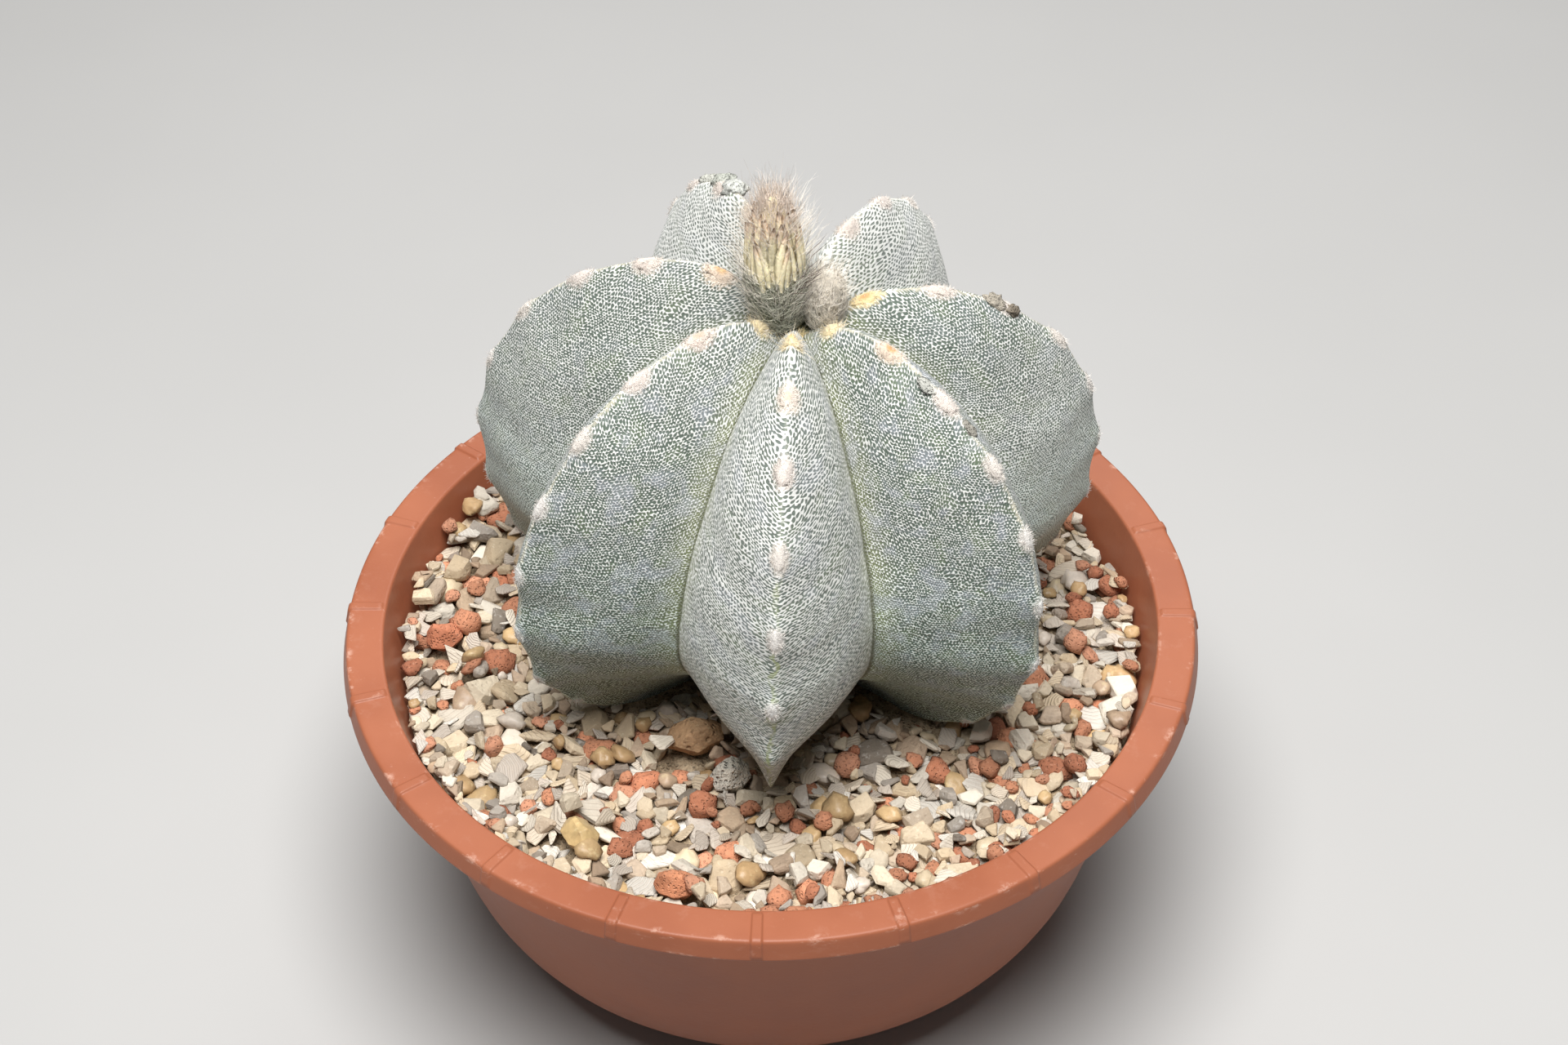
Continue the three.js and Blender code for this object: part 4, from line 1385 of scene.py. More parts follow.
@dataclass
class Bud:
    """A bud about its own axis: a round core, over which scales, wool and hair are set."""

    foot: Triple
    tip: Triple
    outline: tuple[Pair, ...]
    low: Colour
    high: Colour
    change: Pair

    def basis(self) -> Array:
        """Two directions across the axis and the axis itself, as rows.

        Returns:
            The directions.
        """
        up = unit(np.array(self.tip, float) - self.foot)
        side = unit(np.cross([0.0, 1.0, 0.0], up))
        return np.stack([side, np.cross(up, side), up])

    def place(self, local: Array) -> Array:
        """Points from the bud's own frame into the CAD frame."""
        return local @ self.basis() + np.array(self.foot, float)

    def radius(self, height: Array) -> Array:
        """Radius of the core at heights along the axis."""
        heights, radii = np.array(self.outline, float).T
        return np.interp(height, heights, radii)

    def ring(self, angle: Array, height: Array, off: Array | float = 0.0) -> Array:
        """Points on or off the core, in the bud's own frame."""
        return polar(self.radius(height) + off, angle, height)

    def core(self) -> Heap:
        """The core, furrowed lengthwise.

        Returns:
            The core's mesh.
        """
        rows, columns, top = 34, 40, self.outline[-1][0]
        height = np.linspace(0, top, rows)
        local = self.ring(around(columns), height[::-1, None]).reshape(-1, 3)
        furrow = 1 + 0.07 * lumps(local * [1, 1, 0.22], 1.3, 3.0) + 0.05 * lumps(local, 2.2, 8.0)
        local[:, :2] *= furrow[:, None]
        share = smooth(local[:, 2], *self.change)[:, None]
        tint = np.array(self.low) * (1 - share) + np.array(self.high) * share
        tint = tint * (1 + 0.25 * lumps(local * [1, 1, 0.3], 0.9, 5.0))[:, None]
        ends = [[0, 0, top + 0.3], [0, 0, -0.6]]
        heap = Heap()
        heap.add(self.place(np.concatenate([local, ends])), capped(rows, columns),
                 tint=np.concatenate([tint, tint[:1], tint[-1:]]))
        return heap

    def strands(self, heap: Heap, paths: Array, radius: float, tint: Array) -> None:
        """Adds strands along paths in the bud's own frame, in one colour each."""
        points, faces = tubes(self.place(paths.reshape(-1, 3)).reshape(paths.shape), radius)
        heap.add(points, faces, tint=shades(tint, paths.shape[1]))

    def hair(self, heap: Heap, random: Chance, count: int, heights: Pair, lengths: Pair, splay: Pair,
             colour: Colour, radius: float, curl: float = 0.12, off: float = 0.0, steps: int = 4,
             facing: Pair | None = None) -> None:
        """Adds strands that stand off the core and lean outwards.

        Args:
            heap: Where they go.
            random: The source of chance.
            count: How many.
            heights: Lowest and highest root.
            lengths: Shortest and longest.
            splay: Least and most lean, as a share of their rise.
            colour: Their mean colour.
            radius: Radius at the root.
            curl: How far they bend.
            off: How far outside the core they start.
            steps: Points along each.
            facing: Middle and half-width of the angles at which they stand, or all round.
        """
        angle = random.uniform(0, TURN, count)
        if facing:
            angle = facing[0] + facing[1] * random.uniform(-1, 1, count)
        height = random.uniform(*heights, count)
        lean = random.uniform(*splay, count)
        way = unit(polar(lean, angle, 1.0) + random.normal(size=(count, 3)) * 0.08)
        root = self.ring(angle, height, off)
        paths = bent(root, way, random.uniform(*lengths, count), curl, random, steps)
        self.strands(heap, paths, radius, np.array(colour) * random.uniform(0.78, 1.15, (count, 1)))

    def wool(self, heap: Heap, random: Chance, count: int, heights: Pair, colour: Colour, radius: float) -> None:
        """Adds curly strands that wind about close to the core.

        Args:
            heap: Where they go.
            random: The source of chance.
            count: How many.
            heights: Lowest and highest root.
            colour: Their mean colour.
            radius: Radius at the root.
        """
        def draw(low: float, high: float) -> Array:
            """Even chances between two numbers, one a strand."""
            return random.uniform(low, high, (count, 1))

        t = np.linspace(0, 1, 6)[None]
        start = draw(0, TURN)
        turn = random.normal(0, 0.55, (count, 1))
        rise, wave, phase = draw(1.5, 4.5), draw(0.1, 0.35), draw(0, TURN)
        angle = start + turn * t + wave * np.sin(5 * t + phase) * 0.5
        height = draw(*heights) + rise * t + wave * np.cos(6 * t + phase) * 1.5
        clear = draw(0.05, 0.7) * (0.3 + 1.1 * np.sin(math.pi * t))
        self.strands(heap, self.ring(angle, height, clear), radius, np.array(colour) * draw(0.75, 1.18))


MAIN_BUD = Bud((2.4, 3.9, 133.6), (1.6, 3.7, 160.0),
               ((0, 2.5), (2, 3.7), (6, 4.5), (11, 4.9), (15, 4.7), (19, 3.9), (23, 2.5), (26.4, 0.7)),
               srgb(142, 147, 128), srgb(240, 224, 184), (11.0, 14.0))
SECOND_BUD = Bud((9.7, 3.9, 133.4), (11.0, 4.1, 145.0),
                 ((0, 1.7), (1.5, 2.5), (4, 3.1), (7, 3.2), (9.5, 2.5), (11.6, 0.8)),
                 srgb(186, 180, 164), srgb(214, 206, 192), (3.0, 9.0))


@dataclass
class FlowerBuds:
    """The two buds with their scales, wool, hair and bristles, and the yellow wool at their feet."""

    scales: int = 84
    golden_turn: float = 2.39996
    hair_colour: Colour = srgb(253, 246, 234)
    crown_colour: Colour = srgb(238, 223, 209)
    bristle_colour: Colour = srgb(92, 74, 60)
    wool_colour: Colour = srgb(213, 211, 193)
    dark_wool: Colour = srgb(116, 118, 98)
    second_wool: Colour = srgb(250, 242, 229)
    scale_pale: Colour = srgb(255, 243, 204)
    scale_root: Colour = srgb(240, 228, 190)
    scale_tip: Colour = srgb(240, 212, 184)
    scale_brown: Colour = srgb(126, 92, 70)
    tuft_yellow: Colour = srgb(230, 210, 158)
    tuft_hairs: int = 110
    # middle and size
    tufts: tuple[tuple[float, float, float, float], ...] = (
        (-0.9, 3.0, 134.6, 1.5), (0.6, 1.2, 134.4, 1.3), (12.6, 3.4, 133.0, 1.5), (11.0, 1.6, 132.9, 1.2),
        (6.2, 1.2, 133.2, 1.0), (4.4, 7.6, 134.0, 1.4), (8.4, 6.8, 133.4, 1.2))

    def blades(self, random: Chance) -> Heap:
        """The long papery scales of the main bud, brown at their tips.

        Args:
            random: The source of chance.

        Returns:
            The scales' mesh.
        """
        heap, rows = Heap(), 8
        t = np.linspace(0, 1, rows)
        shape = np.sin(math.pi * np.clip(t * 0.86 + 0.12, 0, 1)) ** 0.8
        ends = [[0, 1, 2], [0, 2, 3], [4 * rows - 2, 4 * rows - 3, 4 * rows - 4],
                [4 * rows - 1, 4 * rows - 2, 4 * rows - 4]]
        faces = np.concatenate([triangles(grid_faces(rows, 4)[:, ::-1]), ends])
        root, tip, brown = (np.array(colour) for colour in (self.scale_root, self.scale_tip, self.scale_brown))
        for number in range(self.scales):
            share = number / (self.scales - 1)
            angle = number * self.golden_turn + random.normal(0, 0.08)
            start = 11.0 + 7.5 * share + random.normal(0, 0.5)
            length = random.uniform(7.5, 10.5) * (1 - 0.24 * share)
            height = start + length * t
            lift = 0.15 + 0.95 * t * (1 - 0.75 * share) * random.uniform(0.5, 1.1)
            out = np.array([math.cos(angle), math.sin(angle), 0.0])
            side = np.array([-math.sin(angle), math.cos(angle), 0.0])
            drift = random.normal(0, 0.09) * t ** 2 * length
            middle = (out * (self.clear_radius(height) + lift)[:, None] + side * drift[:, None]
                      + np.array([0, 0, 1.0]) * height[:, None])
            half = (random.uniform(0.62, 0.98) * shape)[:, None]
            cup = 0.28 * half
            ring = np.stack([middle - side * half - out * cup, middle + out * 0.16,
                             middle + side * half - out * cup, middle - out * 0.10], axis=1)
            pale = np.array(self.scale_pale) * random.uniform(0.94, 1.08)
            shade = root + (pale - root) * smooth(t, 0.0, 0.3)[:, None]
            shade = shade + (tip - shade) * smooth(t, 0.62, 0.9)[:, None]
            withered = smooth(t, 0.9, 1.0)[:, None] * (0.9 if number % 3 == 0 else 0.25)
            tint = np.repeat(shade + (brown - shade) * withered, 4, axis=0)
            tint[1::4] *= 1.0 if number % 4 else 0.62
            heap.add(MAIN_BUD.place(ring.reshape(-1, 3)), faces, tint=tint)
        return heap

    def clear_radius(self, height: Array) -> Array:
        """How far from the axis a scale stands: along the core, then closing over its tip."""
        return np.where(height < 19, MAIN_BUD.radius(height), np.interp(height, [19, 24, 28], [3.9, 2.9, 1.7]))

    def foot_tufts(self, random: Chance) -> Heap:
        """The yellow wool round the feet of the buds.

        Args:
            random: The source of chance.

        Returns:
            The wool's mesh.
        """
        heap, colour, count = Heap(), np.array(self.tuft_yellow), self.tuft_hairs
        points, faces = ball(7, 12)
        for number, (*middle, size) in enumerate(self.tufts):
            rough = 1 + 0.25 * lumps(points, 0.5, number * 1.9)
            local = points * rough[:, None] * [size, size, size * 0.6]
            heap.add(middle + local, faces, tint=colour * (1 + 0.12 * lumps(points, 0.3, number))[:, None])
            way = unit(random.normal(size=(count, 3)) + [0, 0, 0.5])
            path = bent(middle + way * size * [0.9, 0.9, 0.5], way, random.uniform(0.5, 1.6, count), 0.45, random)
            heap.add(*tubes(path, 0.06), tint=shades(colour * random.uniform(0.8, 1.15, (count, 1)), 4))
        return heap

    def build(self) -> None:
        """Makes both buds."""
        random = np.random.default_rng(SEED + 21)
        scales = self.blades(random)
        hair, wool, second, bristles = Heap(), Heap(), Heap(), Heap()
        main, small, pale, dark = MAIN_BUD, SECOND_BUD, self.hair_colour, self.bristle_colour
        main.hair(hair, random, 560, (8, 23), (4.0, 7.4), (0.3, 0.95), pale, 0.038, 0.14, 0.6, 5)
        main.hair(hair, random, 700, (19, 26), (3.2, 5.4), (-0.2, 0.65), self.crown_colour, 0.05, 0.24, 0.3, 5)
        main.hair(hair, random, 200, (3, 10), (5, 8.5), (0.4, 0.95), pale, 0.04, 0.14, 0.2, 5)
        main.wool(wool, random, 1050, (-0.5, 11.8), self.wool_colour, 0.055)
        main.wool(wool, random, 150, (0.0, 12.0), self.dark_wool, 0.045)
        main.hair(bristles, random, 34, (3, 12), (5, 8.0), (0.08, 0.45), dark, 0.06, 0.06, 0.35)
        main.hair(bristles, random, 20, (9, 13), (5.5, 8), (0.7, 1.6), dark, 0.075, 0.06, 0.2, facing=(-0.3, 0.7))
        main.hair(bristles, random, 12, (9, 13), (4.5, 7), (0.5, 1.2), dark, 0.06, 0.06, 0.2, facing=(3.3, 0.6))
        small.wool(second, random, 800, (-0.3, 9.0), self.second_wool, 0.05)
        small.hair(second, random, 520, (1, 11.4), (2.4, 4.4), (0.0, 0.85), self.second_wool, 0.04, 0.2)
        small.hair(bristles, random, 22, (1, 9), (3, 5), (0.05, 0.4), dark, 0.045, 0.08, 0.2)
        strand = TintFinish("bud_hair", 900.0, 0.08, 0.0, 0.75, 0.15)
        fuzz = TintFinish("core_wool", 1200.0, 0.2, 0.0005, 0.95, 0.2)
        blade = TintFinish("bud_scale", 700.0, 0.16, 0.0003, 0.6, 0.0)
        for heap, name, finish, slot, *nodes in (
                (scales, "bud_scales", blade, "bud_scales"),
                (main.core(), "flower_bud_core", fuzz, "bud_scales", "flower_bud"),
                (hair, "bud_hair", strand, "bud_scales"),
                (wool, "bud_foot_wool", strand, "bud_wool"),
                (bristles, "bud_bristles", strand, "bud_scales"),
                (small.core(), "second_bud_core", fuzz, "bud_wool", "second_bud"),
                (second, "second_bud_wool", strand, "bud_wool"),
                (self.foot_tufts(random), "foot_wool", strand, "bud_wool")):
            fit(heap.piece(name), finish, slot, *nodes)


# Gravel


@dataclass(frozen=True)
class Bed:
    """The gravel's surface and the bowl's inner wall, as in the CAD model."""

    top: float = 60.6
    mound: Pair = (3.2, 42.0)
    bank: tuple[float, float, float, float] = (-56.0, 40.0, 4.2, 19.0)
    wall: float = 2.5
    taper: float = 13.5
    corner: float = 35.0
    corner_centre: float = 29.5

    def height(self, x: Array, y: Array) -> Array:
        """Height of the bed at places across and in depth.

        Args:
            x: Places across.
            y: Places in depth.

        Returns:
            The heights.
        """
        off = np.hypot(x - self.bank[0], y - self.bank[1]) / self.bank[3]
        out = np.hypot(x, y) / self.mound[1]
        return self.top + self.bank[2] * np.exp(-0.5 * off * off) + self.mound[0] * np.exp(-0.5 * out * out)

    def wall_radius(self, z: Array | float, inset: float) -> Array:
        """Radius of the bowl's wall at a height, inset along its normal.

        Args:
            z: Heights.
            inset: How far inside the outer face.

        Returns:
            The radii.
        """
        taper, reach = math.radians(self.taper), self.corner - inset
        touch = self.corner_centre + reach * math.cos(taper)
        return touch + (np.asarray(z, float) - (self.corner - reach * math.sin(taper))) * math.tan(taper)


BED = Bed()


class StoneKind(Enum):
    """Kinds of stone in the gravel; each kind is one piece."""

    SHELL = "shell_flakes"
    LIME = "limestone_chips"
    GREY = "grey_chips"
    CLAY = "clay_lumps"
    QUARTZ = "quartz_pebbles"
    TAN = "tan_chips"


SHELL, LIME, GREY, CLAY, QUARTZ, TAN = StoneKind


@dataclass(frozen=True)
class StoneStyle:
    """How a kind of stone is shaped and coloured; a kind without corners is round."""

    share: float
    corners: int
    thick: Pair
    long: Pair
    bevel: float
    size: float
    colours: tuple[Colour, ...]
    finish: StoneFinish
    slot: str = "gravel"


STYLES: dict[StoneKind, StoneStyle] = {
    SHELL: StoneStyle(
        0.38, 7, (0.12, 0.26), (1.1, 1.8), 0.02, 1.15,
        (srgb(230, 218, 199), srgb(235, 227, 214), srgb(222, 206, 184), srgb(216, 202, 186), srgb(228, 206, 174)),
        StoneFinish("shell", srgb(196, 180, 162), 500.0, 0.12, 0.16, 0.1, 0.0002, 0.1, (0.4, 0.75))),
    LIME: StoneStyle(
        0.27, 8, (0.3, 0.65), (1.0, 1.7), 0.03, 1.0,
        (srgb(222, 202, 172), srgb(210, 188, 156), srgb(226, 210, 184), srgb(235, 224, 206), srgb(200, 180, 156)),
        StoneFinish("limestone", srgb(236, 226, 204), 380.0, 0.25, 0.0, 0.14)),
    GREY: StoneStyle(
        0.09, 8, (0.3, 0.65), (1.0, 1.8), 0.03, 1.0,
        (srgb(186, 175, 162), srgb(172, 161, 148), srgb(202, 191, 177), srgb(178, 162, 146), srgb(144, 132, 118)),
        StoneFinish("greystone", srgb(206, 202, 196), 420.0, 0.35, 0.0, 0.2)),
    CLAY: StoneStyle(
        0.115, 0, (0.55, 0.85), (1.0, 1.45), 0.0, 0.8,
        (srgb(210, 144, 110), srgb(196, 128, 96), srgb(216, 154, 122), srgb(186, 120, 90), srgb(206, 142, 108)),
        StoneFinish("clay", srgb(216, 168, 142), 620.0, 0.3, 0.0, 0.16, 0.0004, 0.6, (0.85, 1.0)), "crushed_clay"),
    QUARTZ: StoneStyle(
        0.05, 0, (0.5, 0.8), (1.0, 1.4), 0.0, 0.85,
        (srgb(216, 182, 134), srgb(220, 200, 168), srgb(206, 170, 124), srgb(226, 212, 196), srgb(196, 168, 140)),
        StoneFinish("quartz", srgb(222, 206, 160), 240.0, 0.3, 0.0, 0.2, 0.0002, 0.1, (0.28, 0.5)), "yellow_stone"),
    TAN: StoneStyle(
        0.13, 7, (0.22, 0.5), (1.1, 1.9), 0.03, 1.05,
        (srgb(196, 170, 142), srgb(180, 154, 128), srgb(204, 178, 152), srgb(168, 146, 122), srgb(208, 186, 162)),
        StoneFinish("tanstone", srgb(206, 188, 160), 380.0, 0.3, 0.0, 0.22)),
}

# Stones that stand out, as kind, place, length, width, turn in degrees and colour number
LANDMARKS: tuple[tuple[StoneKind, float, float, float, float, float, int], ...] = (
    (CLAY, -21.6, -35.3, 7.2, 4.6, 37, 1), (CLAY, -15.2, -33.6, 5.4, 4.2, 0, 0), (CLAY, -24.7, -43.0, 3.8, 3.8, 0, 2),
    (CLAY, -5.8, -51.2, 6.2, 5.0, 65, 0), (CLAY, -9.9, -51.9, 4.4, 4.4, 0, 2), (CLAY, -35.4, -47.5, 6.2, 3.8, 66, 1),
    (CLAY, -62.8, 18.9, 6.2, 5.2, -25, 0), (CLAY, -56.8, 15.3, 6.2, 5.2, 0, 2), (CLAY, -52.0, 16.6, 4.8, 4.8, 0, 1),
    (CLAY, -64.8, 12.6, 6.6, 4.0, -66, 2), (CLAY, 55.1, -15.2, 6.4, 6.0, 67, 0), (CLAY, 60.8, -14.3, 5.0, 4.4, 14, 1),
    (CLAY, 65.0, -9.7, 4.8, 3.8, 0, 0), (CLAY, -33.2, -24.3, 3.8, 4.2, 0, 0), (CLAY, -31.8, -29.4, 3.2, 3.4, 0, 1),
    (CLAY, 8.0, -58.6, 4.6, 4.8, 0, 0), (CLAY, 23.5, -44.8, 3.6, 3.4, 0, 1), (CLAY, 30.0, -41.0, 3.4, 3.4, 0, 0),
    (CLAY, 34.5, -42.7, 3.6, 3.6, 0, 2), (CLAY, 10.8, -54.1, 3.6, 3.4, 0, 1), (CLAY, 21.4, -38.4, 3.6, 3.6, 0, 0),
    (CLAY, -48.5, -17.2, 3.4, 3.4, 0, 2), (CLAY, -59.5, -26.0, 3.2, 3.2, 0, 1), (CLAY, 47.7, -23.1, 3.8, 3.6, 0, 2),
    (LIME, -8.4, -59.4, 7.4, 4.8, 74, 0), (QUARTZ, -0.7, -60.6, 4.6, 6.2, 0, 3),
    (SHELL, -12.4, -39.0, 5.8, 4.6, -13, 1), (SHELL, -15.5, -44.0, 5.6, 4.8, 36, 1),
    (GREY, -32.8, -35.6, 8.0, 6.4, 25, 2), (LIME, -41.1, -30.0, 8.6, 6.0, 48, 1),
    (GREY, -11.0, -44.6, 7.8, 5.8, -25, 0), (SHELL, 1.5, -50.7, 6.8, 5.0, 25, 1),
    (GREY, -2.2, -47.0, 6.0, 3.6, 74, 2), (SHELL, 29.6, -35.4, 7.6, 6.4, 0, 1), (SHELL, 31.7, -28.4, 6.0, 5.2, 48, 1),
    (SHELL, 36.5, -29.9, 6.6, 3.8, -37, 1), (SHELL, 15.8, -60.6, 6.4, 4.4, 25, 1),
    (SHELL, 44.9, -42.2, 4.2, 6.4, 0, 1), (LIME, 43.7, -34.4, 5.2, 5.4, 0, 0), (GREY, -3.0, -42.6, 8.4, 2.6, 60, 2),
    (TAN, -28.3, -28.6, 11.0, 2.6, 98, 4), (SHELL, 9.3, -45.4, 7.6, 3.0, 30, 3),
    (QUARTZ, 13.6, -38.0, 4.2, 4.0, 0, 2), (SHELL, -19.8, -48.3, 7.4, 5.0, -13, 2),
    (SHELL, -42.4, -19.8, 7.0, 5.4, 26, 1), (LIME, -56.3, 23.0, 6.0, 4.8, 25, 3), (SHELL, 59.0, 14.7, 5.8, 6.0, 0, 1),
    (LIME, -27.0, -51.6, 5.6, 4.4, 47, 0), (QUARTZ, -13.5, -52.6, 6.0, 6.0, 0, 1),
    (TAN, -42.6, -44.0, 4.8, 7.6, 25, 0), (SHELL, -34.8, -53.6, 4.4, 4.6, 0, 1),
    (QUARTZ, 59.6, -21.9, 5.6, 4.8, 20, 0),
)


@dataclass
class Settling:
    """Stones laid one by one on a height map of what lies below, clear of stem and wall."""

    cell: float = 0.5
    reach: float = 72.0
    depth: float = 3.6
    clearance: float = 0.25
    stem_top: float = 92.0
    neck: float = 17.0
    heights: Array = field(init=False)
    ceiling: Array = field(init=False)

    def __post_init__(self) -> None:
        """Starts the map as a rough floor a little below the finished bed."""
        self.heights = BED.height(*self.grid()) - self.depth
        self.ceiling = np.full_like(self.heights, 400.0)

    def grid(self) -> tuple[Array, Array]:
        """Places of all the map's cells."""
        line = np.arange(-self.reach, self.reach + self.cell, self.cell)
        return tuple(np.meshgrid(line, line, indexing="ij"))

    def cells(self, x: Array, y: Array) -> tuple[Faces, Faces]:
        """Cells of the map at places."""
        top = len(self.heights) - 1
        return tuple(np.clip(np.rint((v + self.reach) / self.cell).astype(int), 0, top) for v in (x, y))

    def near(self, x: float, y: float, reach: float) -> tuple[slice, slice]:
        """The cells in a square about a place."""
        (i0, i1), (j0, j1) = self.cells(np.array([x - reach, x + reach]), np.array([y - reach, y + reach]))
        return slice(int(i0), int(i1) + 1), slice(int(j0), int(j1) + 1)

    def roof(self, points: Array) -> None:
        """Notes the lowest surface of the stem's points over each cell, and lets no stone lie in its neck.

        Args:
            points: Points in the CAD frame.
        """
        low = points[(points[:, 2] < self.stem_top) & (np.hypot(points[:, 0], points[:, 1]) < self.reach)]
        np.minimum.at(self.ceiling, self.cells(low[:, 0], low[:, 1]), low[:, 2])
        grown = self.ceiling.copy()
        for di in range(-3, 4):
            for dj in range(-3, 4):
                if di * di + dj * dj <= 10:
                    grown = np.minimum(grown, np.roll(self.ceiling, (di, dj), (0, 1)))
        x, y = self.grid()
        grown[np.hypot(x - FORM.foot[0], y - FORM.foot[1]) < self.neck] = 0
        self.ceiling = grown

    def slope(self, x: float, y: float, reach: float) -> Array:
        """Upward direction of the map's surface about a place.

        Args:
            x: Places across.
            y: Places in depth.
            reach: How far from the place to look.

        Returns:
            The direction, of length 1.
        """
        i, j = self.cells(np.array([x - reach, x + reach, x, x]), np.array([y, y, y - reach, y + reach]))
        h = self.heights[i, j]
        return unit(np.array([(h[0] - h[1]) / (2 * reach), (h[2] - h[3]) / (2 * reach), 1.0]))

    def cover(self, middle: Array, axes: Array, half: Array) -> None:
        """Raises the map under a settled stone.

        Args:
            middle: The stone's middle.
            axes: Its own directions, as rows.
            half: Its half sizes.
        """
        reach = float(half.max()) + self.cell
        (i0, i1), (j0, j1) = (self.cells(np.array([c - reach, c + reach]), np.zeros(2))[0] for c in middle[:2])
        x = np.arange(i0, i1 + 1) * self.cell - self.reach - middle[0]
        y = np.arange(j0, j1 + 1) * self.cell - self.reach - middle[1]
        dx, dy = np.meshgrid(x, y, indexing="ij")
        form = axes.T @ np.diag(1 / half ** 2) @ axes
        linear = 2 * (form[0, 2] * dx + form[1, 2] * dy)
        rest = form[0, 0] * dx ** 2 + 2 * form[0, 1] * dx * dy + form[1, 1] * dy ** 2 - 1
        inside = linear ** 2 - 4 * form[2, 2] * rest
        top = middle[2] + (-linear + np.sqrt(np.maximum(inside, 0))) / (2 * form[2, 2])
        patch = self.heights[i0:i1 + 1, j0:j1 + 1]
        np.copyto(patch, np.maximum(patch, np.where(inside > 0, top, -1e3)))

    def settle(self, points: Array, x: float, y: float) -> Array | None:
        """Rests a stone's points on the map.

        Args:
            points: The stone's points about its middle, already turned.
            x: Its place across.
            y: Its place in depth.

        Returns:
            Its middle, or None if there is no room for it.
        """
        for _ in range(2):
            i, j = self.cells(points[:, 0] + x, points[:, 1] + y)
            low = points[:, 2] < np.percentile(points[:, 2], 45)
            z = float(np.percentile((self.heights[i, j] - points[:, 2])[low], 72)) - 0.15
            out = np.hypot(points[:, 0] + x, points[:, 1] + y)
            over = float((out - BED.wall_radius(points[:, 2] + z, BED.wall) + self.clearance).max())
            if over <= 0:
                break
            x, y = (v * (1 - (over + 0.05) / math.hypot(x, y)) for v in (x, y))
        i, j = self.cells(points[:, 0] + x, points[:, 1] + y)
        if over > 0.3 or np.any(points[:, 2] + z > self.ceiling[i, j] - self.clearance):
            return None
        return np.array([x, y, z])


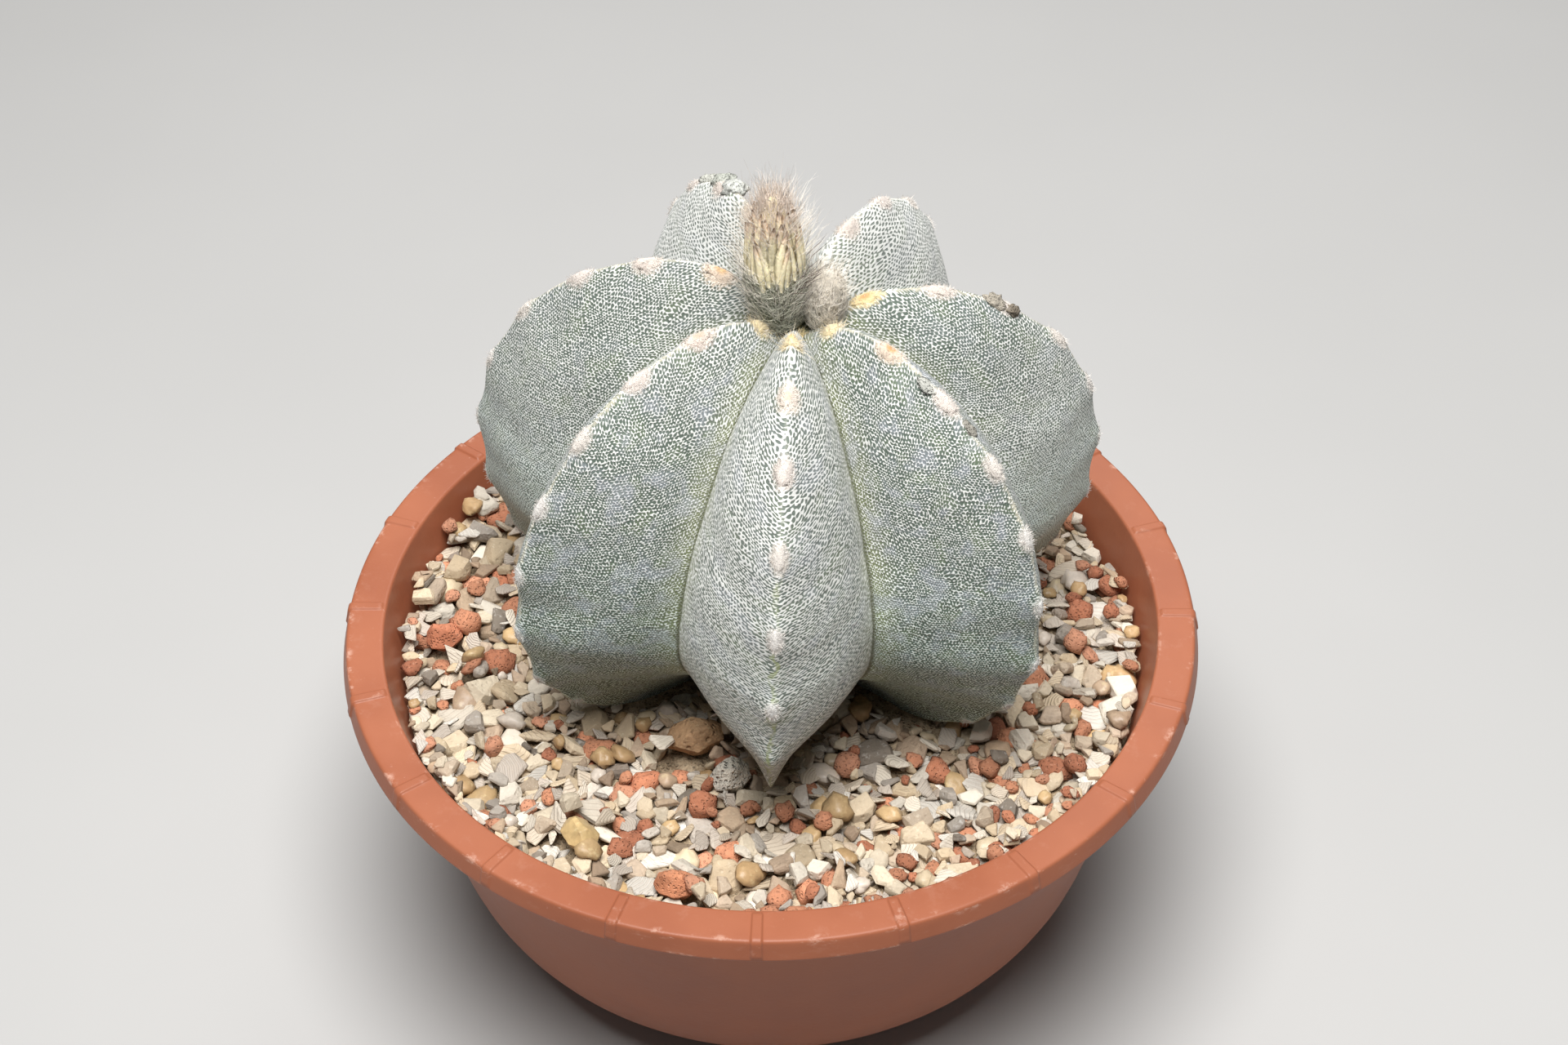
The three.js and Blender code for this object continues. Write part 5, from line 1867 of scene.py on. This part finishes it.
@dataclass
class Gravel:
    """Loose stones in their kinds over a dusty floor."""

    stones: int = 2450
    shapes: int = 14
    tries: int = 6
    spots: int = 12
    sizes: Pair = (8.2, 2.9)
    level_ring: Pair = (58.0, 63.0)
    tilts: Pair = (0.16, 0.36)
    tones: Pair = (0.54, 0.84)

    def shape(self, style: StoneStyle, random: Chance) -> tuple[Array, Faces, Array]:
        """One stone of unit length about its middle.

        Args:
            style: How it is shaped.
            random: The source of chance.

        Returns:
            Points, triangles, and the place of each point across the growth bands.
        """
        long, thick = random.uniform(*style.long), random.uniform(*style.thick)
        half = np.array([0.5, 0.5 / long, 0.5 * thick / long])
        if not style.corners:
            points, faces = ball(7, 12)
            shift = random.uniform(0, 50)
            rough = 1 + 0.42 * lumps(points, 0.9, shift) + 0.16 * lumps(points, 0.4, shift + 7)
            points = points * rough[:, None] * half
        else:
            angle = np.sort(random.uniform(0, TURN, style.corners))
            reach = random.uniform(0.82, 1.0, style.corners)
            cap = random.uniform(0.62, 0.95, (2, style.corners))
            level = random.uniform(0.55, 1.0, (2, style.corners)) * [[1], [-1]]
            flat = np.stack([np.cos(angle), np.sin(angle)], axis=-1) * reach[:, None]
            waist = np.concatenate([flat, random.uniform(-0.25, 0.25, (style.corners, 1))], axis=1)
            sides = [np.concatenate([flat * cap[k][:, None], level[k][:, None]], axis=1) for k in (0, 1)]
            points, faces = hull_shape(np.concatenate([waist, *sides]) * half, style.bevel)
            points = points - points.mean(0)
            bend = random.uniform(-0.5, 0.5) if thick < 0.32 else 0.0
            points[:, 2] += bend * (points[:, 0] ** 2 - 0.08)
        centre = random.uniform(-0.6, 0.6, 2)
        band = np.hypot(points[:, 0] - centre[0], points[:, 1] - centre[1]) * 62
        return points, faces, band

    def axes(self, up: Array, yaw: float) -> Array:
        """A stone's own directions as rows, turned about an upward direction by a yaw in radians."""
        side = unit(np.cross(up, [math.cos(yaw), math.sin(yaw), 0.0]))
        return np.stack([np.cross(side, up), side, up])

    def build(self, stem: Array) -> None:
        """Lays all the stones.

        Args:
            stem: Points of the stem's skin.
        """
        random = np.random.default_rng(SEED + 31)
        ground, named = Settling(), NamedStones()
        ground.roof(stem)
        library = {kind: [self.shape(style, random) for _ in range(self.shapes)] for kind, style in STYLES.items()}
        heaps = {kind: Heap() for kind in STYLES}
        for middle, half in named.spots:
            ground.cover(middle, np.eye(3), half)
        shut = np.zeros_like(ground.heights)

        def lay(kind: StoneKind, shape: int, size: Array, x: float, y: float, yaw: float, tilt: Array,
                colour: Array) -> bool:
            """Lays one stone on the bed.

            Args:
                kind: Its kind.
                shape: The number of its shape.
                size: Its scale along its own axes.
                x: Places across.
                y: Places in depth.
                yaw: Its turn, in radians.
                tilt: Its lean.
                colour: Its colour.

            Returns:
                Whether there was room for it.
            """
            points, faces, band = library[kind][shape]
            scaled = points * size
            lean = 1 - 0.9 * float(smooth(math.hypot(x, y), *self.level_ring))
            slope = ground.slope(x, y, max(1.0, 0.35 * float(size[0])))
            axes = self.axes(unit(slope * [0.8 * lean, 0.8 * lean, 1] + tilt * lean), yaw)
            placed = scaled @ axes
            middle = ground.settle(placed, x, y)
            if middle is None or named.covers(middle, 0.06 * float(size[0])):
                shut[ground.near(x, y, 1.0)] += 0.5
                return False
            half = (scaled.max(0) - scaled.min(0)) / 2
            ground.cover(middle, axes, half * [1.0, 1.0, 0.95])
            tint = np.broadcast_to(colour, (len(points), 3))
            heaps[kind].add(placed + middle, faces, tint=tint, band=band)
            return True

        for kind, x, y, length, width, turn, number in LANDMARKS:
            shape = int(random.integers(self.shapes))
            extent = np.ptp(library[kind][shape][0], axis=0)
            thick = extent[2] * 0.5 * (length + width)
            size = np.array([length, width, max(thick, 1.2)]) / extent
            colour = np.array(STYLES[kind].colours[number])
            if not lay(kind, shape, size, x, y, math.radians(turn), np.zeros(3), colour):
                LOG.info("no room for the %s at %.0f, %.0f", kind.value, x, y)
        kinds = list(STYLES)
        shares = np.array([STYLES[kind].share for kind in kinds])
        for number in range(self.stones):
            kind = kinds[int(random.choice(len(kinds), p=shares / shares.sum()))]
            style = STYLES[kind]
            share = (number / self.stones) ** 0.65
            size = (self.sizes[0] + (self.sizes[1] - self.sizes[0]) * share) * style.size * random.uniform(0.75, 1.2)
            colour = np.array(style.colours[int(random.integers(len(style.colours)))]) * random.uniform(*self.tones)
            for _ in range(self.tries):
                radius = BED.wall_radius(64, 3.0) * np.sqrt(random.uniform(0, 1, self.spots))
                angle = random.uniform(0, TURN, self.spots)
                x, y = radius * np.cos(angle), radius * np.sin(angle)
                i, j = ground.cells(x, y)
                gap = ground.heights[i, j] - BED.height(x, y) + 99 * (ground.ceiling[i, j] < 62) + shut[i, j]
                best = int(np.argmin(gap))
                tilt = np.append(random.normal(0, self.tilts[0] if random.random() < 0.8 else self.tilts[1], 2), 0)
                if lay(kind, int(random.integers(self.shapes)), np.full(3, size), float(x[best]), float(y[best]),
                       random.uniform(0, TURN), tilt, colour):
                    break
        for kind, style in STYLES.items():
            fit(heaps[kind].piece(kind.value, soft=not style.corners), style.finish, style.slot, "gravel")
        self.floor()

    def floor(self) -> None:
        """Makes the dusty floor that shows between the stones."""
        rings, sides, low, base = 36, 110, 57.5, 54.2
        radius = np.linspace(16.5, float(BED.wall_radius(low, 2.75)), rings)
        x, y = (radius[::-1, None] * way(around(sides)) for way in (np.cos, np.sin))
        z = np.minimum(BED.height(x, y) - 3.0, 62.5)
        z[0] = low
        top = np.stack([x, y, z], axis=-1).reshape(-1, 3)
        rough = 0.7 * lumps(top, 2.4) + 0.35 * lumps(top, 1.1, 5.0)
        rough[:sides] = 0
        top[:, 2] += rough
        count = len(top)
        sheet = grid_faces(rings, sides)[:, ::-1]
        edges = [np.stack([ring, ring + count, np.roll(ring, -1) + count, np.roll(ring, -1)], -1)
                 for ring in (np.arange(sides), np.arange(count - sides, count)[::-1])]
        faces = triangles(np.concatenate([sheet, sheet[:, ::-1] + count, *edges]))
        points = np.concatenate([top, np.column_stack([top[:, :2], np.full(count, base)])])
        finish = SoilFinish("gravel_dust", srgb(122, 104, 82), srgb(186, 166, 138), 500.0)
        fit(piece_of(finish.name, points, faces), finish, "gravel", "gravel")


@dataclass
class NamedStones:
    """The larger stones that are CAD nodes of their own, worn finer where they lie."""

    # finish, slot and tint, by node
    finishes: dict[str, tuple[StoneFinish, str, Colour]] = field(default_factory=lambda: {
        "brown_stone": (StoneFinish("brown_rock", srgb(192, 170, 134), 260.0, 0.45, 0.0, 0.34, 0.0008, 0.4),
                        "brown_stone", srgb(170, 136, 102)),
        "speckled_stone": (StoneFinish("speckled_rock", srgb(92, 88, 78), 520.0, 0.6, 0.0, 0.4, 0.0013, 1.2,
                                       (0.35, 0.8)), "speckled_stone", srgb(226, 219, 204)),
        "yellow_pebble": (StoneFinish("yellow_quartz", srgb(222, 206, 160), 220.0, 0.3, 0.0, 0.25, 0.0002, 0.1,
                                      (0.3, 0.5)), "yellow_stone", srgb(190, 163, 116)),
        "front_clay_lump": (STYLES[CLAY].finish, "crushed_clay", srgb(194, 130, 96)),
        "left_clay_lump": (STYLES[CLAY].finish, "crushed_clay", srgb(188, 120, 90)),
    })
    spots: list[tuple[Array, Array]] = field(init=False)

    def __post_init__(self) -> None:
        """Notes middle and half sizes of each stone."""
        boxes = [[np.array(corner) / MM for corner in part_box(node)] for node in self.finishes]
        self.spots = [((low + high) / 2, (high - low) / 2) for low, high in boxes]

    def covers(self, middle: Array, margin: float) -> bool:
        """Whether a place lies on one of the stones."""
        return any(math.hypot(*(middle[:2] - spot[:2])) < float(half[:2].mean()) + margin
                   for spot, half in self.spots)

    def build(self) -> None:
        """Makes the finer stones."""
        for number, (node, (finish, slot, tint)) in enumerate(self.finishes.items()):
            work = bmesh.new()
            work.from_mesh(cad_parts[node].data)
            bmesh.ops.remove_doubles(work, verts=work.verts[:], dist=1e-6)
            bmesh.ops.dissolve_limit(work, angle_limit=math.radians(3), verts=work.verts[:], edges=work.edges[:])
            bmesh.ops.bevel(work, geom=work.edges[:], offset=0.3 * MM, segments=2, profile=0.6, affect="EDGES")
            bmesh.ops.triangulate(work, faces=work.faces[:])
            bmesh.ops.subdivide_edges(work, edges=work.edges[:], cuts=2, use_grid_fill=True)
            bmesh.ops.triangulate(work, faces=work.faces[:])
            work.normal_update()
            normals = np.array([v.normal[:] for v in work.verts])
            points, faces = arrays_of(work)
            points = points / MM
            rough = 0.30 * lumps(points, 2.6, number * 4.0) + 0.14 * lumps(points, 0.9, number * 2.0) - 0.12
            points = points + normals * rough[:, None]
            tints = np.array(tint) * (1 + 0.25 * lumps(points, 3.2, number * 3.0))[:, None]
            piece = piece_of(node + "_worn", points, faces, {"tint": tints, "band": points[:, 2] * 0})
            fit(piece, finish, slot, node)


# Bowl


@dataclass
class Bowl:
    """The moulded bowl with rounded edges, a ribbed rim and drain holes."""

    height: float = 70.0
    rim: float = 78.0
    inner: float = 71.3
    mean_rim: float = 75.0
    lip: float = 1.4
    flare: float = 1.0
    skirt: float = 4.0
    thick: float = 2.0
    flange: float = 2.4
    ribs: int = 20
    rib_half: float = 0.9
    rib_rise: float = 0.36
    holes: int = 6
    hole: Pair = (18.0, 2.0)

    def arc(self, inset: float) -> list[Pair]:
        """Radius and height along the rounded corner between base and wall, inset from the outer face.

        Args:
            inset: How far inside the outer face.

        Returns:
            The points, from the base up.
        """
        sweep, radius = math.radians(90 - BED.taper), BED.corner - inset
        return [(BED.corner_centre + radius * math.sin(a), BED.corner - radius * math.cos(a))
                for a in np.linspace(0, sweep, 14)]

    def outline(self) -> tuple[Array, Array, Array]:
        """The outline of the wall from the middle of the base outside, over the rim and back inside.

        Returns:
            Radius and height, how much of a rim rib's rise each point takes, and how worn it is.
        """
        low, under, outer = self.height - self.skirt, self.height - self.flange, self.rim + self.flare
        lip = self.height - self.lip
        # radius, height, rounding, share of a rib and wear of each edge
        sharp = [
            (float(BED.wall_radius(under, 0)), under, 0.6, 0.0, 0.0),
            (self.rim - self.thick, under, 0.5, 0.0, 0.0),
            (outer - self.thick, low, 0.35, 0.0, 0.3),
            (outer, low, 0.45, 0.0, 1.0),
            (self.rim, self.height, 0.6, 1.0, 0.9),
            (self.inner, self.height, 0.55, 0.0, 0.5),
            (float(BED.wall_radius(lip, BED.wall)), lip, 0.3, 0.0, 0.0),
        ]
        outside = [(0.0, 0.0), (12.0, 0.0), (22.0, 0.0), *self.arc(0)]
        back = [*self.arc(BED.wall)[::-1], (22.0, BED.wall), (12.0, BED.wall), (0.0, BED.wall)]
        outside += [(float(BED.wall_radius(z, 0)), z) for z in np.linspace(outside[-1][1], under - 0.8, 6)[1:]]
        rows = [(r, z, 0.0, 0.0) for r, z in outside]
        previous = rows[-1][:2]
        for number, (r, z, rounding, rib, worn) in enumerate(sharp):
            after = sharp[number + 1][:2] if number + 1 < len(sharp) else back[0]
            here = np.array([r, z])
            before, ahead = unit(np.array(previous) - here), unit(np.array(after) - here)
            for t in np.linspace(0, 1, 5):
                bow = here + rounding * ((1 - t) ** 2 * before + t ** 2 * ahead)
                rows.append((float(bow[0]), float(bow[1]), rib, worn))
            previous = (r, z)
            if number == 3:
                rows += [(outer - self.flare * s, low + self.skirt * s, 0.9 * float(smooth(s, 0.04, 0.14)), 0.12)
                         for s in (0.2, 0.35, 0.5, 0.65)]
            if number == 4:
                rows += [(self.rim + (self.inner - self.rim) * s, self.height, float(smooth(s, 0.94, 0.84)), 0.10)
                         for s in (0.2, 0.4, 0.6, 0.76, 0.84, 0.9)]
        inside = [(float(BED.wall_radius(z, BED.wall)), z) for z in np.linspace(self.height - 3, back[0][1], 5)[:-1]]
        rows += [(r, z, 0.0, 0.0) for r, z in inside + back]
        table = np.array(rows)
        return table[:, :2], table[:, 2], table[:, 3]

    def turns(self) -> tuple[Array, Array]:
        """Azimuths of the columns, closer together at the rim ribs, with each one's share of a rib.

        Returns:
            Azimuths in radians, and shares.
        """
        near = np.degrees(np.array([0, 0.35, 0.62, 0.76, 0.9, 1.04, 1.2, 1.6]) / self.mean_rim)
        half = 180 / self.ribs
        step = np.concatenate([near, np.linspace(near[-1], half, 7)[1:-1]])
        offsets = np.concatenate([-step[:0:-1], step, [half]])
        off = np.abs(offsets) * math.pi / 180 * self.mean_rim
        share = smooth(off, self.rib_half + 0.22, self.rib_half - 0.22)
        turn = np.concatenate([offsets + 2 * half * number for number in range(self.ribs)])
        return np.radians(turn), np.tile(share, self.ribs)

    def build(self) -> None:
        """Makes the bowl."""
        outline, ribbed, worn = self.outline()
        turn, share = self.turns()
        tangent = np.gradient(outline, axis=0)
        normal = unit(np.stack([tangent[:, 1], -tangent[:, 0]], axis=-1))
        body = slice(1, len(outline) - 1)
        rise = self.rib_rise * ribbed[body, None] * share[None]
        r, z = (outline[body, k, None] + normal[body, k, None] * rise for k in (0, 1))
        points = polar(r, turn, z)
        rows, columns = points.shape[:2]
        wobble = 0.10 * lumps(points.reshape(-1, 3), 34.0).reshape(rows, columns)
        upper = smooth(points[..., 2], 30, 60)
        points[..., :2] *= (1 + wobble * upper / self.mean_rim)[..., None]
        edge = np.clip(worn[body, None] + 0.5 * share[None] * ribbed[body, None], 0, 1)
        flat = np.concatenate([points.reshape(-1, 3), [[0, 0, outline[0, 1]], [0, 0, outline[-1, 1]]]])
        values = {"edge": np.append(edge.ravel(), [0, 0])}
        piece = piece_of("bowl_shell", flat, capped(rows, columns, True), values)
        self.drill(piece)
        fit(piece, BowlFinish(), "bowl_plastic", "bowl")

    def drill(self, piece: Piece) -> None:
        """Cuts the drain holes.

        Args:
            piece: The bowl.
        """
        heap, sides, deep = Heap(), 24, BED.wall * 2
        ring = around(sides)
        for number in range(self.holes):
            turn = TURN * (number + 0.5) / self.holes
            middle = self.hole[0] * np.array([math.cos(turn), math.sin(turn)])
            flat = middle + self.hole[1] * np.stack([np.cos(ring), np.sin(ring)], axis=-1)
            rings = [np.column_stack([flat, np.full(sides, z)]) for z in (deep, -BED.wall)]
            heap.add(np.concatenate([*rings, [[*middle, deep], [*middle, -BED.wall]]]), capped(2, sides))
        cutter = heap.piece("drain_cutter")
        change = piece.modifiers.new("drain", "BOOLEAN")
        change.operation, change.solver, change.object = "DIFFERENCE", "EXACT", cutter
        graph = bpy.context.evaluated_depsgraph_get()
        cut = bpy.data.meshes.new_from_object(piece.evaluated_get(graph))
        piece.modifiers.clear()
        piece.data = cut
        bpy.data.objects.remove(cutter)


# Studio


@dataclass
class Studio:
    """Pale floor, soft light and the camera of the photograph."""

    lens: float = 61.875
    sensor: float = 36.0
    place: Triple = (16.2272, -357.3503, 417.2161)
    right: Triple = (0.99959109, 0.02530778, -0.01331021)
    up: Triple = (-0.00719527, 0.67312092, 0.73949744)
    ahead: Triple = (-0.02767442, 0.73909928, -0.67302777)
    # place and aim in millimetres, size in metres, power
    lights: tuple[tuple[str, Triple, Triple, float, float], ...] = (
        ("key", (-14.0, -180.0, 857.0), (0.0, 0.0, 80.0), 0.55, 12.8),
        ("sheen", (40.0, 560.0, 640.0), (0.0, 0.0, 80.0), 0.5, 1.8),
    )
    sky: float = 0.105
    floor: float = 1500.0

    def build(self) -> None:
        """Makes floor, lights, sky and camera."""
        scene = bpy.context.scene
        points = np.array([[x * self.floor, y * self.floor, 0] for x, y in ((-1, -1), (1, -1), (1, 1), (-1, 1))])
        floor = piece_of("studio_floor", points, np.array([[0, 1, 2, 3]]), soft=False)
        floor.data.materials.append(FloorFinish().material())
        for name, place, aim, size, power in self.lights:
            lamp = bpy.data.lights.new(name, "AREA")
            lamp.shape, lamp.size, lamp.energy = "DISK", size, power
            holder = linked(name, lamp)
            holder.location = Vector(place) * MM
            holder.rotation_euler = (Vector(aim) - Vector(place)).to_track_quat("-Z", "Y").to_euler()
        world = bpy.data.worlds.new("studio_sky")
        world.use_nodes = True
        sky = world.node_tree.nodes["Background"].inputs
        sky["Color"].default_value, sky["Strength"].default_value = (1.0, 1.0, 1.0, 1.0), self.sky
        scene.world = world
        scene.view_settings.view_transform = "Standard"
        camera = bpy.data.cameras.new("camera")
        camera.lens, camera.sensor_width = self.lens, self.sensor
        camera.clip_start, camera.clip_end = 0.01, 20.0
        scene.camera = linked("camera", camera)
        turn = np.stack([self.right, self.up, -np.array(self.ahead)], axis=1)
        matrix = Matrix(turn.tolist()).to_4x4()
        matrix.translation = Vector(self.place) * MM
        scene.camera.matrix_world = matrix


def main() -> None:
    """Builds the sub-assemblies in order."""
    logging.basicConfig(level=logging.INFO, format="%(name)s: %(message)s", stream=sys.stdout)
    Studio().build()
    Bowl().build()
    soil = SoilFinish("damp_soil", srgb(58, 44, 32), srgb(104, 84, 62))
    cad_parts["potting_mix"].material_slots[0].material = soil.material()
    stem = Stem()
    skin = stem.build().data
    places = [corner.co / MM for corner in skin.vertices]
    Cushions(BVHTree.FromPolygons(places, [face.vertices[:] for face in skin.polygons])).build()
    Scabs().build()
    FlowerBuds().build()
    NamedStones().build()
    Gravel().build(stem.surface()[0].reshape(-1, 3))
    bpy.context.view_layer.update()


if __name__ == "__main__":
    main()
